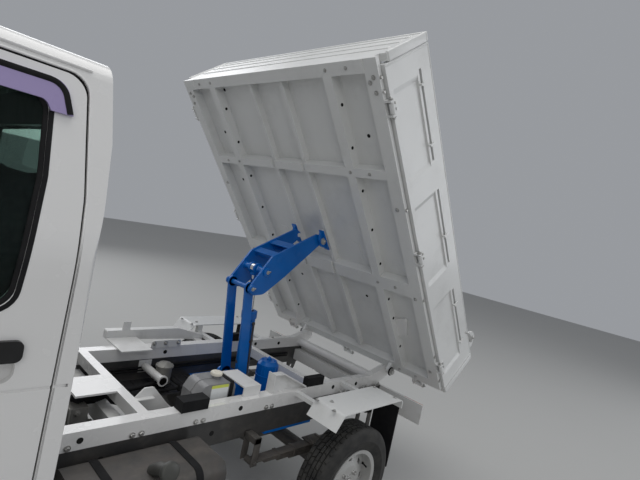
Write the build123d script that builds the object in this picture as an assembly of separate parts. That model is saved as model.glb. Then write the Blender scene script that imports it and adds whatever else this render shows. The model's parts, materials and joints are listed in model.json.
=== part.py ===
from build123d import *
import math
import os

# Kei tipper truck with its bed raised, in millimetres.
# While it is modelled, X runs from the front bumper to the rear, Y to the truck's right and Z up from
# the ground. At the end everything moves along X, so that the origin is under the middle of the truck.

# Overall places
FRONT_AXLE_X = 760.0
WHEELBASE = 1900.0
TRACK = 1300.0
CAB_LENGTH = 1335.0
CAB_HALF_WIDTH = 737.0
CAB_TOP = 1775.0

# Wheels
TYRE_RADIUS = 268.0
TYRE_WIDTH = 145.0
RIM_RADIUS = 152.0
KINGPIN_Y = 545.0
RIM_WIDTH = 120.0
FLANGE_RADIUS = 164.0
FLANGE_THICK = 5.0
DISC_Y = 8.0
VENT_INNER = 96.0
VENT_OUTER = 116.0
VENTS = 8
STUDS = 4
STUD_CIRCLE = 100.0
STUD_HOLE_RADIUS = 6.5
DISC_THICK = 8.0
DISC_FACE = 30.0
RUN_GAP = 0.3
HUB_RADIUS = 30.0
HUB_BACK = -12.0
HUB_FACE = 38.0
DISC_FLAT = 73.0
KINGPIN_RADIUS = 12.0
KNUCKLE_DOWN = 90.0
KNUCKLE_UP = 120.0
SPINDLE_RADIUS = 16.0
MOVE_GAP = 6.0

# Cab
CAB_WALL = 45.0
CAB_BOTTOM = 330.0
GLASS_INSET = 8.0
GLASS_THICK = 5.0
ROOF_SEAM = CAB_TOP - 103.0
BUMPER_TOP = 560.0
DOOR_GAP = 5.0
DOOR_GAP_REAR = 10.0
DOOR_FRONT = 385.0
DOOR_REAR = CAB_LENGTH - 50.0
DOOR_TOP = ROOF_SEAM - 10.0
DOOR_BOTTOM = 400.0
DOOR_STEP = 622.0
ARCH_RADIUS = 330.0
FLOOR_Z = 560.0
FLOOR_THICK = 30.0
SEAT_BOX_X = 640.0
SEAT_BOX_TOP = 730.0
WINDOW_BOTTOM = 1125.0
WINDOW_TOP = ROOF_SEAM - 68.0
BACK_SPLIT = CAB_LENGTH - 105.0
CREASE_Z = 931.0
CREASE_HALF = 4.0
HANDLE_X = DOOR_REAR - 144.0
HANDLE_HALF = 70.0
HANDLE_Z = (1004.0, 1054.0)
SCOOP_Z = (952.0, 1014.0)
SCOOP_DEPTH = 22.0
VISOR_THICK = 10.0
# Slots of the grille and the bumper: count, lowest edge, height, pitch, half width, inner end
GRILLE_SLOTS = (4, 668.0, 13.0, 24.0, 430.0, 42.0)
INTAKE_SLOTS = (3, 400.0, 20.0, 34.0, 320.0, 120.0)
DOOR_AXIS_X = 382.5
DOOR_AXIS_Y = CAB_HALF_WIDTH - 4.0
DOOR_HINGES_Z = (770.0, 895.0)
MIRROR_REACH = 133.0
SILL_INNER = CAB_HALF_WIDTH - 97.0
ENGINE_REAR = CAB_LENGTH - 115.0
STEER_CENTRE = (640.0, 320.0, 1075.0)
STEER_AXIS = (0.55, 0.0, 0.835)

# Frame and subframe
RAIL_INNER = 325.0
RAIL_WIDTH = 55.0
RAIL_BOTTOM = 430.0
RAIL_TOP = 540.0
RAIL_FRONT = 250.0
RAIL_REAR = 3240.0
SUB_TOP = 605.0
SUB_FRONT = CAB_LENGTH + 85.0
SUB_STEP_X = 2590.0
SUB_REAR = 3200.0
SUB_TAIL_WIDTH = 40.0
BRACKET_RISE = 45.0
STAY_X = (2359.0, 2586.0)
STAY_TOP = 698.0
ANGLE_X = (2205.0, 2300.0)
SUB_BEAMS_X = (1735.0, 2690.0)
SUB_BEAM_LENGTH = 40.0
SUB_TUBE_RADIUS = 28.0
PAD_HEIGHT = 45.0
PAD_LENGTH = 120.0
FRONT_PAD_X = 1880.0
TOW_BORE_RADIUS = 13.0
TOW_EYE_THICK = 12.0
# Tow eyes: x, y, drop below the rail
TOW_EYES = ((300.0, 285.0, 130.0), (3195.0, 352.0, 42.0))
RAIL_NARROW = 260.0
# Frame crossmembers: front end, length, half width, lower and upper face
FRAME_BEAMS = (
    (RAIL_FRONT, 60.0, RAIL_NARROW, 440.0, 490.0), (560.0, 50.0, RAIL_NARROW, 440.0, 490.0),
    (1700.0, 50.0, RAIL_INNER, 450.0, 520.0), (RAIL_REAR - 60, 50.0, RAIL_INNER, 450.0, 520.0),
)
OIL_TANK_X = (2005.0, 2200.0)
OIL_TANK_Y = (-300.0, -170.0)
OIL_TANK_FOOT = 500.0
OIL_TANK_TOP = 660.0
LAMP_BEAM_THICK = 15.0
PLATE_HOLES_APART = 210.0
PLATE_HOLE_RADIUS = 3.5
PLATE_HOLE_Z = 495.0
FENDER_TOP = 645.0
FENDER_REAR = 275.0

# Bed: u runs forward from the hinge and w up from it, both in the lowered bed
TIP_ANGLE = 51.7
HINGE_X = 3299.0
HINGE_Z = 626.0
HINGE_PIN_RADIUS = 14.0
BED_FRONT = 1834.0
BED_TAIL = 10.0
BED_UNDER = 30.0
BED_SILL_HEIGHT = 50.0
BED_FLOOR_THICK = 5.0
BED_RAIL_INNER = 652.0
BED_RAIL_OUTER = 718.0
BED_EDGE = 698.0
SILL_Y = 445.0
SILL_WIDTH = 50.0
RIB_Y = 122.0
RIB_WIDTH = 24.0
GATE_OUTER = 734.0
GATE_THICK = 30.0
GATE_BOTTOM = 55.0
GATE_TOP = 361.0
GATE_AXIS_W = 42.0
GATE_AXIS_OUT = 9.0
GATE_PIN_RADIUS = 6.0
HEADBOARD_THICK = 30.0
GATE_HINGES_U = (171.0, 907.0, 1634.0)
# Pressed panels and slots of a gate, as spans along it
GATE_PANELS_U = ((80.0, 565.0), (707.0, 1159.0), (1283.0, 1694.0))
GATE_SLOTS_U = ((169.0, 551.0), (729.0, 1155.0), (1303.0, 1714.0))
GATE_HOOKS_U = (176.0, 454.0, 901.0, 1383.0, 1653.0)
TAIL_PANELS_Y = ((-690.0, -270.0), (-210.0, 210.0), (270.0, 690.0))
PRESS_LOW = 80.0
PRESS_HIGH = 255.0
PRESS_DEPTH = 8.0
PRESS_SLOPE = 22.0
SLOT_LOW = 270.0
SLOT_HIGH = 286.0
SLOT_DEPTH = 16.0
TAIL_HINGES_Y = (-560.0, 0.0, 560.0)

# Hoist: pivots at rest, with the bed raised
LINK_FOOT = (2410.0, 540.0)
CYLINDER_FOOT = (2470.0, 470.0)
ARM_TIP = (2340.0, 1040.0)
ARM_EYE = (2415.0, 1130.0)
ARM_HEEL_U = 890.6
ARM_HEEL_W = 16.0
ARM_PLATE_Y = 84.0
ARM_PLATE_THICK = 12.0
ARM_TUBES = ((2480.0, 1203.0), (2603.0, 1246.0))
ARM_TUBE_RADIUS = 16.0
LINK_Y = 66.0
LINK_THICK = 12.0
HOIST_PLATE = 12.0
BARREL_RADIUS = 37.0
BARREL_LENGTH = 423.0
ROD_RADIUS = 17.0
UNIT_X = 2590.0
UNIT_Y = -60.0
UNIT_RADIUS = 58.0
UNIT_HEIGHT = 205.0

REAR_AXLE_X = FRONT_AXLE_X + WHEELBASE
WHEEL_Y = TRACK / 2


# Helpers
def outline(rows):
    """A flat face from rows of (a, b, corner radius)."""
    turn = sum(p[0] * q[1] - q[0] * p[1] for p, q in zip(rows, rows[1:] + rows[:1]))
    if turn < 0:
        rows = rows[::-1]
    face = Polygon(*[(row[0], row[1]) for row in rows], align=None)
    for a, b, radius in rows:
        if radius > 0:
            corner = face.vertices().sort_by_distance((a, b, 0))[0]
            face = fillet(corner, radius)
    return face


def points(rows):
    """Rows of (a, b) as sharp corners for outline."""
    return [(a, b, 0) for a, b in rows]


def prism_xz(face, y0, y1):
    return extrude(Plane.XZ.offset(-y1) * face, amount=y1 - y0)


def prism_yz(face, x0, x1):
    return extrude(Plane.YZ.offset(x0) * face, amount=x1 - x0)


def prism_xy(face, z0, z1):
    return extrude(Plane.XY.offset(z0) * face, amount=z1 - z0)


def block(x0, x1, y0, y1, z0, z1):
    return Pos((x0 + x1) / 2, (y0 + y1) / 2, (z0 + z1) / 2) * Box(x1 - x0, y1 - y0, z1 - z0)


def rod(start, end, radius):
    """A round bar from one point to another."""
    start, end = Vector(*start), Vector(*end)
    return extrude(Plane(origin=start, z_dir=end - start) * Circle(radius), amount=(end - start).length)


def rod_y(x, z, radius, y0, y1):
    return rod((x, y0, z), (x, y1, z), radius)


def mirrored(shape):
    return mirror(shape, about=Plane.XZ)


def spun_up(rows):
    """A body of revolution about Z from rows of (radius, z)."""
    return revolve(Plane.XZ * outline(points(rows)), Axis.Z)


def pair(shape):
    """The shape and its mirror image, as separate solids."""
    return shape.solids() + mirrored(shape).solids()


def bar(p, q, width_p, width_q):
    """A flat bar's outline between two pivots, with round ends of their own widths."""
    shape = Pos(*p) * Circle(width_p / 2) + Pos(*q) * Circle(width_q / 2)
    dx, dz = q[0] - p[0], q[1] - p[1]
    length = math.hypot(dx, dz)
    nx, nz = -dz / length, dx / length
    corners = [
        (p[0] + nx * width_p / 2, p[1] + nz * width_p / 2),
        (q[0] + nx * width_q / 2, q[1] + nz * width_q / 2),
        (q[0] - nx * width_q / 2, q[1] - nz * width_q / 2),
        (p[0] - nx * width_p / 2, p[1] - nz * width_p / 2),
    ]
    return shape + outline(points(corners))


NODES = {}


def add(name, *shapes):
    """Keep a node: one or more solids that don't touch each other."""
    solids = []
    for shape in shapes:
        solids += shape if isinstance(shape, list) else list(shape.solids())
    NODES[name] = solids


# Cab shell
SIDE_ROWS = [
    (12, CAB_BOTTOM, 30), (0, 470, 60), (22, 700, 200), (95, 985, 60), (500, CAB_TOP - 75, 130),
    (760, CAB_TOP - 10, 400), (CAB_LENGTH - 235, CAB_TOP, 250), (CAB_LENGTH - 23, CAB_TOP - 23, 60),
    (CAB_LENGTH + 18, 1350, 0),
    (CAB_LENGTH + 18, CAB_BOTTOM, 0),
]
SECTION_ROWS = [
    (CAB_HALF_WIDTH - 47, CAB_BOTTOM - 60, 0), (CAB_HALF_WIDTH - 17, 900, 500), (CAB_HALF_WIDTH, 1250, 500),
    (CAB_HALF_WIDTH - 82, CAB_TOP - 63, 60), (0, CAB_TOP + 40, 0),
]
PLAN_ROWS = [
    (-40, CAB_HALF_WIDTH - 162, 150), (150, CAB_HALF_WIDTH - 22, 250), (900, CAB_HALF_WIDTH, 600),
    (CAB_LENGTH, CAB_HALF_WIDTH, 25),
]


def inset_rows(rows, inset):
    """Move every side of a convex outline inwards, and shrink its corner radii to match."""
    turn = sum(p[0] * q[1] - q[0] * p[1] for p, q in zip(rows, rows[1:] + rows[:1]))
    rows = rows if turn > 0 else rows[::-1]
    moved = []
    for before, here, after in zip(rows[-1:] + rows[:-1], rows, rows[1:] + rows[:1]):
        first = Vector(here[0] - before[0], here[1] - before[1]).normalized()
        second = Vector(after[0] - here[0], after[1] - here[1]).normalized()
        spread = inset / (1 + first.dot(second))
        a = here[0] - spread * (first.Y + second.Y)
        b = here[1] + spread * (first.X + second.X)
        moved.append((a, b, max(here[2] - inset, 1) if here[2] else 0))
    return moved


def both_halves(rows):
    """Rows of a half outline (y, z) closed by its mirror image; the last row is on the middle line."""
    return rows + [(-a, b, r) for a, b, r in reversed(rows[:-1])]


def cab_body(inset):
    """The cab as one solid, cut from its side, cross-section and plan, each moved in by the inset."""
    plan_rows = [(x, -y, r) for x, y, r in PLAN_ROWS] + PLAN_ROWS[::-1]
    side, section, plan = (
        outline(inset_rows(rows, inset)) for rows in (SIDE_ROWS, both_halves(SECTION_ROWS), plan_rows))
    wide = CAB_HALF_WIDTH + 100
    along = prism_xz(side, -wide, wide) & prism_yz(section, -100, CAB_LENGTH + 100)
    return along & prism_xy(plan, 0, 2000)


def door_outline(gap, gap_rear):
    """The door from the side. A gap makes the opening for it in the body."""
    rows = [
        (DOOR_FRONT - gap, DOOR_STEP - gap, 15), (905 - gap, DOOR_STEP - gap, 20),
        (1105 - gap, DOOR_BOTTOM - gap, 30), (DOOR_REAR + gap_rear, DOOR_BOTTOM - gap, 15),
        (DOOR_REAR + gap_rear, 1385, 300), (DOOR_REAR - 23 + gap_rear, DOOR_TOP + gap, 50),
        (690 - gap, DOOR_TOP + gap, 60), (DOOR_FRONT - gap, 1020, 120),
    ]
    return outline(rows)


def window_outline(grow):
    rows = [
        (470 - grow, WINDOW_BOTTOM - grow, 45), (DOOR_REAR - 113 + grow, WINDOW_BOTTOM - grow, 50),
        (DOOR_REAR - 90 + grow, (WINDOW_BOTTOM + WINDOW_TOP) / 2 + 55, (WINDOW_TOP - WINDOW_BOTTOM) * 0.4),
        (DOOR_REAR - 95 + grow, WINDOW_TOP + grow, 45),
        (735 - grow * 1.4, WINDOW_TOP + grow, 45),
    ]
    return outline(rows)


def visor_outline():
    """The rain visor: a band over the window's top edge that bends down behind its rear edge."""
    top, rear = WINDOW_TOP + 36, DOOR_REAR - 46
    rows = [
        (690, top - 52, 0), (745, top, 50), (rear - 20, top, 40), (rear, top - 74, 0),
        (rear - 46, top - 74, 0), (rear - 58, top - 52, 20),
    ]
    return outline(rows)


OUTER = cab_body(0)
INNER = cab_body(CAB_WALL)
SHELL = OUTER - INNER
VISOR_LAYER = cab_body(-VISOR_THICK) - OUTER
GLASS_LAYER = cab_body(GLASS_INSET) - cab_body(GLASS_INSET + GLASS_THICK)
FAR = 2000.0
LEFT = (-FAR, -300.0)
ARCHES = rod_y(FRONT_AXLE_X, TYRE_RADIUS, ARCH_RADIUS, -FAR, FAR)


def door_hinge(z):
    """One exposed door hinge on the left: the door's leaf and barrel, and the body's leaf with the pin."""
    at = Pos(DOOR_AXIS_X, -DOOR_AXIS_Y, z)
    hole = at * Cylinder(4 + RUN_GAP, 90)
    skin = -DOOR_AXIS_Y + 27
    leaf = block(DOOR_AXIS_X + 2, DOOR_AXIS_X + 50, -DOOR_AXIS_Y + 2, skin, z - 13, z + 13)
    on_door = (leaf + at * Cylinder(9, 26)) - hole
    on_body = at * Cylinder(4, 62)
    for low, high in ((z - 31, z - 14), (z + 14, z + 31)):
        on_body += block(DOOR_AXIS_X - 46, DOOR_AXIS_X - 2, -DOOR_AXIS_Y + 2, skin, low, high)
        on_body += Pos(DOOR_AXIS_X, -DOOR_AXIS_Y, (low + high) / 2) * Cylinder(9, high - low)
    return on_door, on_body


def slotted(shape, slots):
    """Cut a row of long slots with rounded ends into a front panel."""
    count, lowest, height, pitch, half, inner = slots
    for k in range(count):
        low = lowest + pitch * k
        slot = block(-50, inner + pitch * k / 4, -half, half, low, low + height)
        shape = shape - fillet(slot.edges().filter_by(Axis.X), height * 0.45)
    return shape


def make_doors():
    door_prism = prism_xz(door_outline(0, 0), *LEFT)
    window = prism_xz(window_outline(0), *LEFT)
    arch = rod_y(FRONT_AXLE_X, TYRE_RADIUS, ARCH_RADIUS + DOOR_GAP, *LEFT)
    door = (SHELL & door_prism) - window - arch
    skin = -CAB_HALF_WIDTH + 11
    door -= block(DOOR_FRONT + 15, FAR, -FAR, skin + 8, CREASE_Z - CREASE_HALF, CREASE_Z + CREASE_HALF)
    scoop = block(HANDLE_X - HANDLE_HALF + 8, HANDLE_X + HANDLE_HALF - 8, -FAR, skin + SCOOP_DEPTH, *SCOOP_Z)
    door -= fillet(scoop.edges().filter_by(Axis.Y), 26)
    handle = block(HANDLE_X - HANDLE_HALF, HANDLE_X + HANDLE_HALF, skin - 12, skin + 10, *HANDLE_Z)
    handle = fillet(handle.edges().filter_by(Axis.Y), 16)
    door -= handle
    visor = (VISOR_LAYER & prism_xz(visor_outline(), *LEFT)).solids().sort_by(SortBy.VOLUME)[-1]
    glass = GLASS_LAYER & window
    mirror_x, mirror_z = DOOR_FRONT + 85, WINDOW_BOTTOM + 120
    outer = CAB_HALF_WIDTH + MIRROR_REACH
    housing = block(mirror_x - 45, mirror_x + 15, -outer, 110 - outer, mirror_z - 110, mirror_z + 90)
    housing = chamfer(housing.edges(), 14)
    arm_low = (mirror_x + 10, 170 - outer, WINDOW_BOTTOM - 40)
    arm = rod((mirror_x - 15, 70 - outer, mirror_z - 100), arm_low, 11)
    head = (housing + arm) - (OUTER & door_prism)
    for z in DOOR_HINGES_Z:
        on_door, on_body = door_hinge(z)
        door += on_door - (INNER + block(0, DOOR_FRONT, -DOOR_AXIS_Y + 10, 0, 0, FAR))
    for side, place in (("l", lambda s: s), ("r", mirrored)):
        add("door_" + side, place(door))
        add("door_glass_" + side, place(glass))
        add("mirror_" + side, place(head.solids().sort_by(SortBy.VOLUME)[-1]))
        add("door_fittings_" + side, place(handle), place(visor))


def make_cab():
    opening = prism_xz(door_outline(DOOR_GAP, DOOR_GAP_REAR), *LEFT)
    shell = SHELL - opening - mirrored(opening) - ARCHES
    roof_box = block(-50, CAB_LENGTH + 50, -FAR, FAR, ROOF_SEAM, FAR)
    back_box = block(BACK_SPLIT, CAB_LENGTH + 50, -FAR, FAR, CAB_BOTTOM, ROOF_SEAM)
    bumper_box = block(-50, 300, -FAR, FAR, CAB_BOTTOM - 50, BUMPER_TOP)
    inside = CAB_HALF_WIDTH - 82
    floor_cut = block(-50, CAB_LENGTH + 50, -inside, inside, 0, CAB_BOTTOM + CAB_WALL + 5)
    floor_cut += block(BACK_SPLIT, CAB_LENGTH + 50, -inside, inside, 0, FLOOR_Z)
    low, high = CAB_HALF_WIDTH - 97, CAB_HALF_WIDTH - 172
    windshield_cut = prism_yz(outline([
        (-low, 1015, 60), (low, 1015, 60),
        (high, ROOF_SEAM - 32, 60), (-high, ROOF_SEAM - 32, 60)]), -50, 640)
    low, high = CAB_HALF_WIDTH - 177, CAB_HALF_WIDTH - 197
    rear_cut = prism_yz(outline([
        (-low, 1160, 50), (low, 1160, 50), (high, ROOF_SEAM - 112, 50), (-high, ROOF_SEAM - 112, 50)]),
        BACK_SPLIT - 30, CAB_LENGTH + 65)
    side = CAB_HALF_WIDTH - 77
    lamp = prism_yz(outline([
        (side - 180, 640, 30), (side - 5, 655, 30), (side, 800, 40), (side - 190, 780, 30)]), -50, 240)
    lamps = lamp + mirrored(lamp)
    shell = shell - floor_cut
    add("cab_roof", shell & roof_box)
    crease = block(DOOR_REAR, FAR, -FAR, -CAB_HALF_WIDTH + 19, CREASE_Z - CREASE_HALF, CREASE_Z + CREASE_HALF)
    crease = crease & block(0, CAB_LENGTH - 12, -FAR, 0, 0, FAR)
    add("cab_back", (shell & back_box) - rear_cut - crease - mirrored(crease))
    add("front_bumper", slotted(shell & bumper_box, INTAKE_SLOTS))
    front = ((shell - roof_box) - back_box) - bumper_box
    add("headlamps", front & lamps)
    front = slotted((front - windshield_cut) - lamps, GRILLE_SLOTS)
    for z in DOOR_HINGES_Z:
        on_body = door_hinge(z)[1] - block(DOOR_FRONT - DOOR_GAP, FAR, -DOOR_AXIS_Y + 10, 0, 0, FAR)
        front = front + on_body + mirrored(on_body)
    add("cab_front", front)
    add("windshield", GLASS_LAYER & windshield_cut & block(-50, 640, -FAR, FAR, 900, ROOF_SEAM))
    add("rear_window", GLASS_LAYER & rear_cut)
    foot = block(0, SEAT_BOX_X, -FAR, FAR, FLOOR_Z, FLOOR_Z + FLOOR_THICK)
    riser = block(SEAT_BOX_X, SEAT_BOX_X + FLOOR_THICK, -FAR, FAR, FLOOR_Z, SEAT_BOX_TOP)
    seat_box = block(SEAT_BOX_X, CAB_LENGTH, -FAR, FAR, SEAT_BOX_TOP - FLOOR_THICK, SEAT_BOX_TOP)
    beside_door = block(DOOR_FRONT - 10, DOOR_REAR + 15, SILL_INNER, FAR, 0, FAR)
    clear_of_doors = INNER - beside_door - mirrored(beside_door)
    add("cab_floor", (foot + riser + seat_box) & clear_of_doors)
    dash = prism_xz(outline([
        (40, 840, 0), (40, 1010, 0), (300, 1040, 30), (470, 1000, 60), (455, 850, 40)]), -FAR, FAR)
    centre, lean = Vector(*STEER_CENTRE), Vector(*STEER_AXIS).normalized()
    floor_reach = (STEER_CENTRE[2] - FLOOR_Z - FLOOR_THICK) / lean.Z
    column = rod(tuple(centre - lean * (floor_reach + 40)), tuple(centre - lean * 30), 20)
    column = column - block(0, FAR, -FAR, FAR, 0, FLOOR_Z + FLOOR_THICK)
    shroud = prism_xz(outline([(400, 860, 0), (560, 1015, 20), (590, 960, 20), (440, 800, 20)]), 280, 360)
    add("dashboard", (dash & clear_of_doors) + column + shroud)
    seat = outline([
        (SEAT_BOX_X + 60, SEAT_BOX_TOP, 0), (SEAT_BOX_X + 50, SEAT_BOX_TOP + 150, 40),
        (CAB_LENGTH - 245, SEAT_BOX_TOP + 130, 30), (CAB_LENGTH - 145, SEAT_BOX_TOP + 710, 40),
        (CAB_LENGTH - 65, SEAT_BOX_TOP + 720, 30), (CAB_LENGTH - 65, SEAT_BOX_TOP, 0)])
    add("seats", pair(prism_xz(seat, 60, CAB_HALF_WIDTH - 137)))


def make_steering():
    plane = Plane(origin=STEER_CENTRE, z_dir=STEER_AXIS, x_dir=(0, 1, 0))
    ring = revolve(Plane.XZ * (Pos(180, 0) * RegularPolygon(13, 8)), Axis.Z)
    spokes = Box(340, 26, 10) + Pos(0, -85, 0) * Box(26, 170, 10)
    hub = Pos(0, 0, -10) * Cylinder(45, 40)
    wheel = plane * (ring + spokes + hub)
    add("steering_wheel", wheel)


# Wheels
def spun(rows):
    """A body of revolution about Y from rows of (radius, y)."""
    return revolve(outline(points(rows)), Axis.Y)


def tyre_ring():
    half = TYRE_WIDTH / 2
    seat = RIM_WIDTH / 2 - FLANGE_THICK
    wall = [
        (RIM_RADIUS, seat), (FLANGE_RADIUS + 1, seat), (TYRE_RADIUS - 58, half), (TYRE_RADIUS - 17, half - 5),
        (TYRE_RADIUS, half - 23),
    ]
    return spun(wall + [(radius, -y) for radius, y in reversed(wall)])


def rim_ring():
    """Steel wheel with its outside towards +Y: flanges, barrel, dished disc and hub as one section."""
    half = RIM_WIDTH / 2
    seat = half - FLANGE_THICK + RUN_GAP
    radius = RIM_RADIUS - RUN_GAP
    bore = SPINDLE_RADIUS + RUN_GAP
    wheel = spun([
        (FLANGE_RADIUS, half), (FLANGE_RADIUS, seat), (radius, seat), (radius, -seat), (FLANGE_RADIUS, -seat),
        (FLANGE_RADIUS, -half), (radius - 6, -half), (radius - 6, DISC_Y - DISC_THICK),
        (DISC_FLAT, DISC_FACE - DISC_THICK), (HUB_RADIUS, DISC_FACE - DISC_THICK), (HUB_RADIUS, HUB_BACK),
        (bore, HUB_BACK), (bore, HUB_FACE), (HUB_RADIUS, HUB_FACE), (HUB_RADIUS, DISC_FACE),
        (DISC_FLAT, DISC_FACE), (radius - 6, DISC_Y), (radius - 6, half - 4),
    ])
    slot = outline(points([(VENT_INNER, -10), (VENT_INNER, 10), (VENT_OUTER, 16), (VENT_OUTER, -16)]))
    slot = extrude(Plane.XZ * slot, amount=60, both=True)
    for k in range(VENTS):
        wheel -= Rot(0, 360 / VENTS * k, 0) * slot
    for k in range(STUDS):
        hole = rod_y(STUD_CIRCLE / 2, 0, STUD_HOLE_RADIUS, DISC_FACE - DISC_THICK - 5, DISC_FACE + 5)
        wheel -= Rot(0, 360 / STUDS * (k + 0.5), 0) * hole
    return wheel


def make_wheels():
    tyre, rim = tyre_ring(), rim_ring()
    for end, x in (("f", FRONT_AXLE_X), ("r", REAR_AXLE_X)):
        for side, sign in (("l", -1), ("r", 1)):
            turned = rim if sign > 0 else mirrored(rim)
            add("tyre_" + end + side, Pos(x, sign * WHEEL_Y, TYRE_RADIUS) * tyre)
            add("rim_" + end + side, Pos(x, sign * WHEEL_Y, TYRE_RADIUS) * turned)


def make_knuckles():
    x, z = FRONT_AXLE_X, TYRE_RADIUS
    spindle = rod_y(x, z, SPINDLE_RADIUS, KINGPIN_Y, WHEEL_Y + 30)
    drum = rod_y(x, z, 105, KINGPIN_Y + 28, WHEEL_Y - 20)
    upright = block(x - 30, x + 30, KINGPIN_Y - 28, KINGPIN_Y + 28, z - KNUCKLE_DOWN, z + KNUCKLE_UP)
    foot = z - KNUCKLE_DOWN
    upright -= rod((x, KINGPIN_Y, foot), (x, KINGPIN_Y, foot + 40), KINGPIN_RADIUS + RUN_GAP)
    arm = block(x + 30, x + 150, KINGPIN_Y - 28, KINGPIN_Y - 8, z - 20, z)
    knuckle = spindle + drum + fillet(upright.edges().filter_by(Axis.Y), 15) + arm
    add("knuckle_r", knuckle)
    add("knuckle_l", mirrored(knuckle))


# Frame
def make_frame():
    start = CAB_LENGTH - 85
    outer, top = RAIL_NARROW + 50, RAIL_TOP - 40
    slope = outline(points([
        (start - 150, RAIL_NARROW), (start, RAIL_INNER), (start, RAIL_INNER + RAIL_WIDTH),
        (start - 150, outer)]))
    rail = block(start, RAIL_REAR, RAIL_INNER, RAIL_INNER + RAIL_WIDTH, RAIL_BOTTOM, RAIL_TOP)
    rail += block(RAIL_FRONT, start - 150, RAIL_NARROW, outer, RAIL_BOTTOM, top)
    rail += prism_xy(slope, RAIL_BOTTOM, top)
    for x, y, drop in TOW_EYES:
        eye = outline([
            (x - 45, RAIL_BOTTOM, 0), (x - 26, RAIL_BOTTOM - drop - 26, 25),
            (x + 26, RAIL_BOTTOM - drop - 26, 25), (x + 45, RAIL_BOTTOM, 0)])
        eye -= Pos(x, RAIL_BOTTOM - drop) * Circle(TOW_BORE_RADIUS)
        rail += prism_xz(eye, y - TOW_EYE_THICK / 2, y + TOW_EYE_THICK / 2)
    add("frame_rails", pair(rail))
    lamp_beam = block(RAIL_REAR, RAIL_REAR + LAMP_BEAM_THICK, -680, 680, RAIL_BOTTOM, RAIL_TOP)
    for y in (-PLATE_HOLES_APART / 2, PLATE_HOLES_APART / 2):
        lamp_beam -= rod((RAIL_REAR - 5, y, PLATE_HOLE_Z), (RAIL_REAR + LAMP_BEAM_THICK + 5, y, PLATE_HOLE_Z),
                         PLATE_HOLE_RADIUS)
    beams = [block(x, x + length, -half, half, low, high) for x, length, half, low, high in FRAME_BEAMS]
    tank_shelf = block(OIL_TANK_X[0] - 5, OIL_TANK_X[1] + 20, -RAIL_INNER, OIL_TANK_Y[1], 485, OIL_TANK_FOOT)
    engine_mounts = pair(block(900, 960, 220, RAIL_NARROW, 440, 490))
    add("frame_crossmembers", *beams, lamp_beam, tank_shelf, *engine_mounts)


def subframe_brackets():
    """The rail's side beam with its plate, the flanged stay and the angle beside the oil tank."""
    top = SUB_TOP + BRACKET_RISE
    beam = prism_xz(outline([
        (1915, SUB_TOP, 0), (1915, top, 8), (2330, top, 60), (2500, top - 48, 0), (2500, SUB_TOP - 37, 0),
        (2360, SUB_TOP - 20, 60)]), 478, 522)
    beam -= prism_xz(outline([
        (1930, SUB_TOP + 8, 0), (1930, top - 6, 0), (2325, top - 6, 60), (2490, top - 53, 0),
        (2490, SUB_TOP - 28, 0), (2355, SUB_TOP - 8, 60)]), 484, 540)
    beam += block(1915, 2077, 272, 500, SUB_TOP, SUB_TOP + 6) + block(1996, 2036, 478, 484, top - 10, STAY_TOP)
    beam += block(2440, 2480, RAIL_INNER + RAIL_WIDTH, 480, SUB_TOP - 30, SUB_TOP - 22)
    (front, rear), top, face = STAY_X, STAY_TOP, -RAIL_INNER - 15
    web = outline(points([
        (front, SUB_TOP), (front, top), (front + 60, top), (rear, SUB_TOP + 12), (rear, SUB_TOP)]))
    lip = outline(points([
        (front + 60, top), (rear, SUB_TOP + 12), (rear, SUB_TOP + 6), (front + 58, top - 6),
        (front, top - 6), (front, top)]))
    stay = prism_xz(web, face - 6, face) + prism_xz(lip, face - 32, face)
    stay += block(front, front + 6, face - 32, face + 18, SUB_TOP, top)
    (front, rear), face, top = ANGLE_X, -RAIL_INNER - 19, SUB_TOP + BRACKET_RISE + 1
    angle = block(front, rear, face - 6, face, SUB_TOP, top) + block(front, rear, face, -160, top - 6, top)
    return beam, stay, angle


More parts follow.
